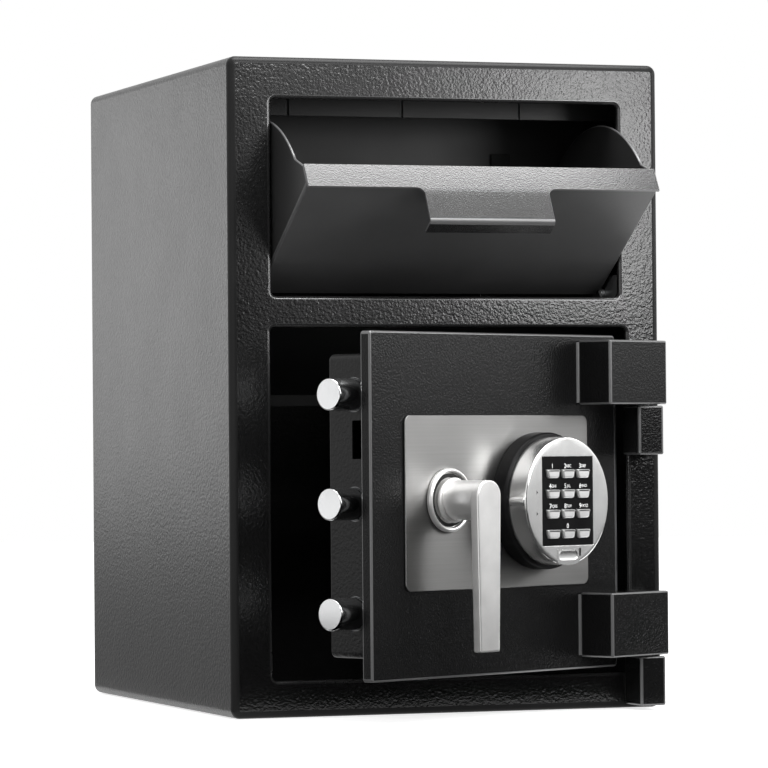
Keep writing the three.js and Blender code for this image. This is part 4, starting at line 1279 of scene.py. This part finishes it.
def keypad_housing(look, place, centre):
    """The housing with its rib, its window for the panel and its bay for the battery drawer."""
    low, high = shut_box("keypad_housing", place)
    radius = high.x - centre.x
    window = front_of(*shut_box("keypad_panel", place), 0.8 * MM, 3, grow=SEAT)
    housing = slab_object(
        "keypad_case", circle((centre.x, centre.z), radius, 112), low.y, high.y, holes=(window,),
        edges=(look.rim, FINE_EDGE), hole_edges=(FINE_EDGE, 0), place=place, steps=3)
    left = centre.x - radius
    bulge, lean, proud, root, half = 5.1 * MM, 40.3, 1.2 * MM, 1.5 * MM, 3.3 * MM
    rib = arc((left - proud + bulge, centre.z), bulge, 180 - lean, 180 + lean, 12)
    rib += [(left + root, centre.z - half), (left + root, centre.z + half)]
    combined(housing, [slab_object("rib", rib, low.y + 1.8 * MM, high.y - 1.5 * MM,
                                   edges=(0.5 * MM, FINE_EDGE), place=place)], "UNION")
    foot, front = centre.z - radius, low.y - OVERRUN
    bay_half, bay_height, bay_front, bay_back = 15.3 * MM, 46.3 * MM, 3.3 * MM, 16.3 * MM
    tab_half, tab_height, tab_back = 12.55 * MM, 11.8 * MM, 4.2 * MM
    brim, brim_depth, mark_depth = 0.3 * MM, 0.5 * MM, 3 * MM

    def bay(half, height):
        """A bay that is open at the housing's foot."""
        return rectangle(centre.x - half, centre.x + half, foot - OVERRUN, foot + height)

    combined(housing, [
        slab_object("tray", bay(bay_half, bay_height), low.y + bay_front, low.y + bay_back, place=place),
        slab_object("tab", bay(tab_half, tab_height), front, low.y + tab_back, place=place),
        slab_object("slit", mark_outline(centre), front, low.y + mark_depth, place=place),
        slab_object("brim", bay(tab_half + brim, tab_height + brim), front, low.y + brim_depth,
                    edges=(0, 0.45 * MM), place=place),
    ])
    finish(housing, "silver housing", "door", "keypad_housing", smooth=30)
    # Painted shade: a black fill set just behind the housing's front in the slit, where the slit lies in
    # shade.
    slit_shade = slab_object("keypad_slit", mark_outline(centre, 0.1 * MM), low.y + 0.4 * MM, low.y + 2.8 * MM,
                       edges=(FINE_EDGE, 0), place=place)
    finish(slit_shade, "black plastic", "door")


def battery_tray(place, centre):
    """The battery drawer, with a scoop for the finger in its front."""
    front = shut_box("keypad_housing", place)[0].y
    drawer = copy_of("battery_drawer", "battery_tray")
    half, foot, head, depth = 11.2 * MM, centre.z - 45.2 * MM, centre.z - 37.8 * MM, 0.7 * MM
    scoop = slab_object(
        "scoop", rectangle(centre.x - half, centre.x + half, foot, head, 3.4 * MM, 5),
        front - OVERRUN, front + depth, edges=(0, (3.3 * MM, 0.6 * MM)), place=place)
    combined(drawer, [scoop])
    finish(drawer, "silver housing", "battery_drawer", "battery_drawer", edge=0.5 * MM)


def keypad_panel(look, place):
    """The black panel that the keys stand in."""
    low, high = shut_box("keypad_panel", place)
    holes = [key_outline(*shut_box("key_" + name, place), grow=SEAT) for name in KEY_NAMES]
    panel = slab_object(
        "keypad_face", front_of(low, high, 0.6 * MM, 3), low.y + look.panel_recess, high.y, holes=holes,
        edges=(0.25 * MM, 0), hole_edges=(FINE_EDGE, 0), place=place, steps=2)
    finish(panel, "panel black", "door", "keypad_panel")


def printed(text, height, across, up, level, thickness):
    """The mesh of printed text in the shut door's coordinates, set out from its middle."""
    capitals = 0.7
    curve = bpy.data.curves.new("print", "FONT")
    curve.body = text
    curve.size = height / capitals
    curve.align_x = "CENTER"
    curve.align_y = "CENTER"
    curve.extrude = thickness / 2
    curve.resolution_u = 3
    carrier = bpy.data.objects.new("print", curve)
    bpy.context.scene.collection.objects.link(carrier)
    mesh = bpy.data.meshes.new_from_object(carrier.evaluated_get(bpy.context.evaluated_depsgraph_get()))
    bpy.data.objects.remove(carrier)
    mesh.transform(Matrix.Translation((across, level, up)) @ Matrix.Rotation(radians(90), 4, "X"))
    return mesh


def key_legends(look, place):
    """Digits and letters above the keys."""
    digit_left, letters_right = 2.6 * MM, 1.6 * MM
    level = shut_box("keypad_panel", place)[0].y + look.panel_recess - look.legend_proud / 2
    shape = bmesh.new()
    for name in KEY_NAMES:
        if not name.isdigit():
            continue
        low, high = shut_box("key_" + name, place)
        across = (low.x + high.x) / 2
        up = high.z + look.legend_gap + look.digit_height / 2
        lines = [(name, look.digit_height, across)]
        if name in KEY_LETTERS:
            lines = [(name, look.digit_height, across - digit_left),
                     (KEY_LETTERS[name], look.letter_height, across + letters_right)]
        for text, height, centre in lines:
            mesh = printed(text, height, centre, up, level, look.legend_proud)
            shape.from_mesh(mesh)
            bpy.data.meshes.remove(mesh)
    finish(object_of("key_legends", shape, place), "legend white", "door")


def key_arrows(place):
    """Two small arrows beside the panel."""
    low, high = shut_box("keypad_panel", place)
    front = shut_box("keypad_housing", place)[0].y
    left = low.x - 7.2 * MM
    half, tip, notch = 1.5 * MM, 1.7 * MM, 0.5 * MM
    shape = bmesh.new()
    for rise in (6.9 * MM, -9.4 * MM):
        up = (low.z + high.z) / 2 + rise
        arrow = [(left, up - half), (left + tip, up), (left, up + half), (left + notch, up)]
        slab(shape, arrow, front - 0.05 * MM, front + 0.2 * MM)
    finish(object_of("key_arrows", shape, place), "black plastic", "door")


def keys(look, place):
    """The twelve keys."""
    dome = (look.key_dome_inset, look.key_dome_depth)
    for name in KEY_NAMES:
        low, high = shut_box("key_" + name, place)
        piece = slab_object("keycap_" + name, key_outline(low, high), low.y, high.y,
                            edges=(dome, 0), place=place, steps=5)
        finish(piece, "key silver", "key_" + name, "key_" + name, smooth=50)


class SAFE_OT_keypad(bpy.types.Operator):
    """Builds the keypad: base, housing, panel, keys, legends and battery drawer"""
    bl_idname = "drop_safe.add_keypad"
    bl_label = "Keypad"

    def execute(self, context):
        look = context.scene.safe_keypad
        place = door_place()
        centre = middle(shut_box("keypad_base", place))
        keypad_base(look, place)
        keypad_housing(look, place, centre)
        battery_tray(place, centre)
        keypad_panel(look, place)
        key_legends(look, place)
        key_arrows(place)
        keys(look, place)
        return {"FINISHED"}


class SAFE_OT_inner_parts(bpy.types.Operator):
    """Gives the parts inside the door their finishes"""
    bl_idname = "drop_safe.finish_inner_parts"
    bl_label = "Inner parts"

    def execute(self, context):
        wanted = {
            "plain steel": ("hard_plate", "lock_case", "guide_post_upper", "guide_post_lower",
                            "bolt_guide_lower", "bolt_guide_middle", "bolt_guide_upper",
                            "bolt_carriage", "spindle", "crank"),
            "bright zinc": ("lock_bolt",),
            "black rubber": ("keypad_cable",),
        }
        for coating, nodes in wanted.items():
            for node in nodes:
                data = frame["nodes"][node].data
                data.materials.clear()
                data.materials.append(materials()[coating])
        return {"FINISHED"}


# Stage

def seen_directly(tree):
    """A node output that is 1 for rays from the camera, from gloss and through glass."""
    path = tree.nodes.new("ShaderNodeLightPath")
    total = path.outputs["Is Camera Ray"]
    for name in ("Is Glossy Ray", "Is Transmission Ray"):
        step = tree.nodes.new("ShaderNodeMath")
        step.operation = "MAXIMUM"
        tree.links.new(total, step.inputs[0])
        tree.links.new(path.outputs[name], step.inputs[1])
        total = step.outputs[0]
    return total


def surroundings(look):
    """White surroundings to the eye and to gloss, and a lower even light otherwise."""
    world = bpy.data.worlds.new("Studio")
    bpy.context.scene.world = world
    world.use_nodes = True
    tree = world.node_tree
    sky = tree.nodes["Background"]
    sky.inputs["Color"].default_value = (1, 1, 1, 1)
    spread = tree.nodes.new("ShaderNodeMapRange")
    tree.links.new(seen_directly(tree), spread.inputs["Value"])
    spread.inputs["To Min"].default_value = look.ambient
    spread.inputs["To Max"].default_value = 1.0
    tree.links.new(spread.outputs["Result"], sky.inputs["Strength"])


def studio_floor(look):
    """A wide pale floor that shows white and keeps the shadow."""
    shape = bmesh.new()
    bmesh.ops.create_circle(shape, cap_ends=True, segments=96, radius=6.0)
    floor = object_of("studio_floor", shape, Matrix.Translation((0, 0, -0.5 * MM)))
    if floor.data.polygons[0].normal.z < 0:
        floor.data.flip_normals()
    recipe = Recipe("studio floor", (0.8, 0.8, 0.8), roughness=0.9, specular=0.1)
    recipe.glow(recipe.calc("MULTIPLY", seen_directly(recipe.tree), look.floor_glow))
    floor.data.materials.append(recipe.material)


def lamp(name, place, target, width, height, power):
    """A soft rectangular lamp that faces a point."""
    light = bpy.data.lights.new(name, "AREA")
    light.shape = "RECTANGLE"
    light.size = width
    light.size_y = height
    light.energy = power
    holder = bpy.data.objects.new(name, light)
    holder.location = place
    holder.rotation_euler = (Vector(target) - Vector(place)).to_track_quat("-Z", "Y").to_euler()
    holder.visible_camera = False
    bpy.context.scene.collection.objects.link(holder)


def card(name, place, reach, foot_tone=0.0, head_tone=0.0):
    """A card that only gloss can see, shaded evenly from foot to head.

    Its reach is left, right, foot and head in the card's own plane. A tone of zero is black.
    """
    left, right, foot, head = reach
    shape = bmesh.new()
    slab(shape, rectangle(left, right, foot, head), 0, 5 * MM)
    board = object_of(name, shape, place)
    recipe = Recipe(name, (0, 0, 0), roughness=0.5, specular=0.0)
    parts = recipe.tree.nodes.new("ShaderNodeSeparateXYZ")
    recipe.put(parts.inputs[0], recipe.place)
    recipe.glow(recipe.span(parts.outputs["Z"], foot, head, foot_tone, head_tone))
    board.data.materials.append(recipe.material)
    for ray in ("camera", "diffuse", "transmission", "shadow", "volume_scatter"):
        setattr(board, "visible_" + ray, False)


def camera(look):
    """The camera at the photograph's viewpoint."""
    data = bpy.data.cameras.new("camera")
    data.sensor_width = 36
    data.lens = look.lens
    data.clip_start = 0.1
    data.clip_end = 50
    holder = bpy.data.objects.new("camera", data)
    forward = Vector((sin(look.yaw) * cos(look.pitch), cos(look.yaw) * cos(look.pitch), sin(look.pitch)))
    right = Vector((cos(look.yaw), -sin(look.yaw), 0))
    up = right.cross(forward)
    turned_right = right * cos(look.roll) + up * sin(look.roll)
    turned_up = up * cos(look.roll) - right * sin(look.roll)
    axes = Matrix((turned_right, turned_up, -forward)).transposed()
    holder.matrix_world = Matrix.Translation(look.eye) @ axes.to_4x4()
    bpy.context.scene.collection.objects.link(holder)
    bpy.context.scene.camera = holder


class SAFE_OT_stage(bpy.types.Operator):
    """Builds the stage: camera, surroundings, floor, lamps and cards"""
    bl_idname = "drop_safe.add_stage"
    bl_label = "Stage"

    def execute(self, context):
        look = context.scene.safe_stage
        context.scene.view_settings.view_transform = "Standard"
        camera(look)
        surroundings(look)
        studio_floor(look)
        lamp("key_lamp", (0.42, -0.90, 0.50), target=(0.10, -0.2, 0.44),
             width=0.18, height=0.34, power=look.key_power)
        lamp("band_lamp", (0.04, -0.95, 0.80), target=(0.0, -0.2, 0.44),
             width=0.60, height=0.14, power=look.band_power)
        lamp("spark_lamp", (0.95, -0.52, 0.42), target=(0.05, -0.3, 0.25),
             width=0.10, height=0.10, power=look.spark_power)
        lamp("right_lamp", (0.95, -0.52, 0.58), target=(0.0, -0.3, 0.2),
             width=0.40, height=0.40, power=look.right_power)
        lamp("top_lamp", (0.03, -0.297, 0.90), target=(0.03, -0.297, 0.41),
             width=0.62, height=0.364, power=look.top_power)
        lamp("rear_lamp", (-0.50, 0.90, 0.38), target=(-0.18, 0.1, 0.30),
             width=0.30, height=0.50, power=look.rear_power)
        front = Matrix.Translation((0, -1.0, 0))
        right = Matrix.Translation((0.95, 0, 0)) @ Matrix.Rotation(radians(90), 4, "Z")
        rear = Matrix.Translation((0, 1.6, 0))
        card("low_card", front, (-0.45, 0.95, -0.35, 0.30))
        card("left_card", front, (-0.45, 0.10, 0.301, 0.62), head_tone=0.2)
        card("rear_card", rear, (-1.8, 0.2, -0.26, 0.38), head_tone=1.05)
        card("right_card", right, (-1.30, 0.35, 0.03, 0.38), foot_tone=0.05, head_tone=1.30)
        card("right_low_card", right, (-1.30, 0.35, -0.30, 0.029))
        floor = Matrix.Translation((0, 0, 1 * MM))
        forwards, backwards = (Matrix.Rotation(radians(turn), 4, "X") for turn in (90, -90))
        card("floor_card", floor @ forwards, (-0.9, 1.0, 0.26, 1.0))
        card("side_floor_card", floor @ backwards, (-1.9, -0.19, -0.25, 1.59), foot_tone=0.24, head_tone=1.15)
        return {"FINISHED"}


OPERATORS = (SAFE_OT_stage, SAFE_OT_cabinet, SAFE_OT_drawer, SAFE_OT_door, SAFE_OT_bolts,
             SAFE_OT_handle, SAFE_OT_keypad, SAFE_OT_inner_parts)


class SAFE_PT_panel(bpy.types.Panel):
    """Lists the operators that build the safe, and its sizes and colours"""
    bl_label = "Drop Safe"
    bl_idname = "SAFE_PT_panel"
    bl_space_type = "VIEW_3D"
    bl_region_type = "UI"
    bl_category = "Drop Safe"

    def draw(self, context):
        for operator in OPERATORS:
            self.layout.operator(operator.bl_idname, text=operator.bl_label)
        for title in GROUPS:
            group = getattr(context.scene, title)
            box = self.layout.box()
            for field in group.__annotations__:
                box.prop(group, field)


CLASSES = (*GROUPS.values(), *OPERATORS, SAFE_PT_panel)


def register():
    """Registers the classes and the scene's property groups."""
    for item in CLASSES:
        bpy.utils.register_class(item)
    for title, group in GROUPS.items():
        setattr(bpy.types.Scene, title, PointerProperty(type=group))


def unregister():
    """Takes the property groups and the classes away again."""
    for title in GROUPS:
        delattr(bpy.types.Scene, title)
    for item in reversed(CLASSES):
        bpy.utils.unregister_class(item)


def main():
    """Builds everything in order."""
    register()
    bpy.ops.drop_safe.add_stage()
    bpy.ops.drop_safe.add_cabinet()
    bpy.ops.drop_safe.add_drawer()
    bpy.ops.drop_safe.add_door()
    bpy.ops.drop_safe.add_bolts()
    bpy.ops.drop_safe.add_handle()
    bpy.ops.drop_safe.add_keypad()
    bpy.ops.drop_safe.finish_inner_parts()


if __name__ == "__main__":
    main()
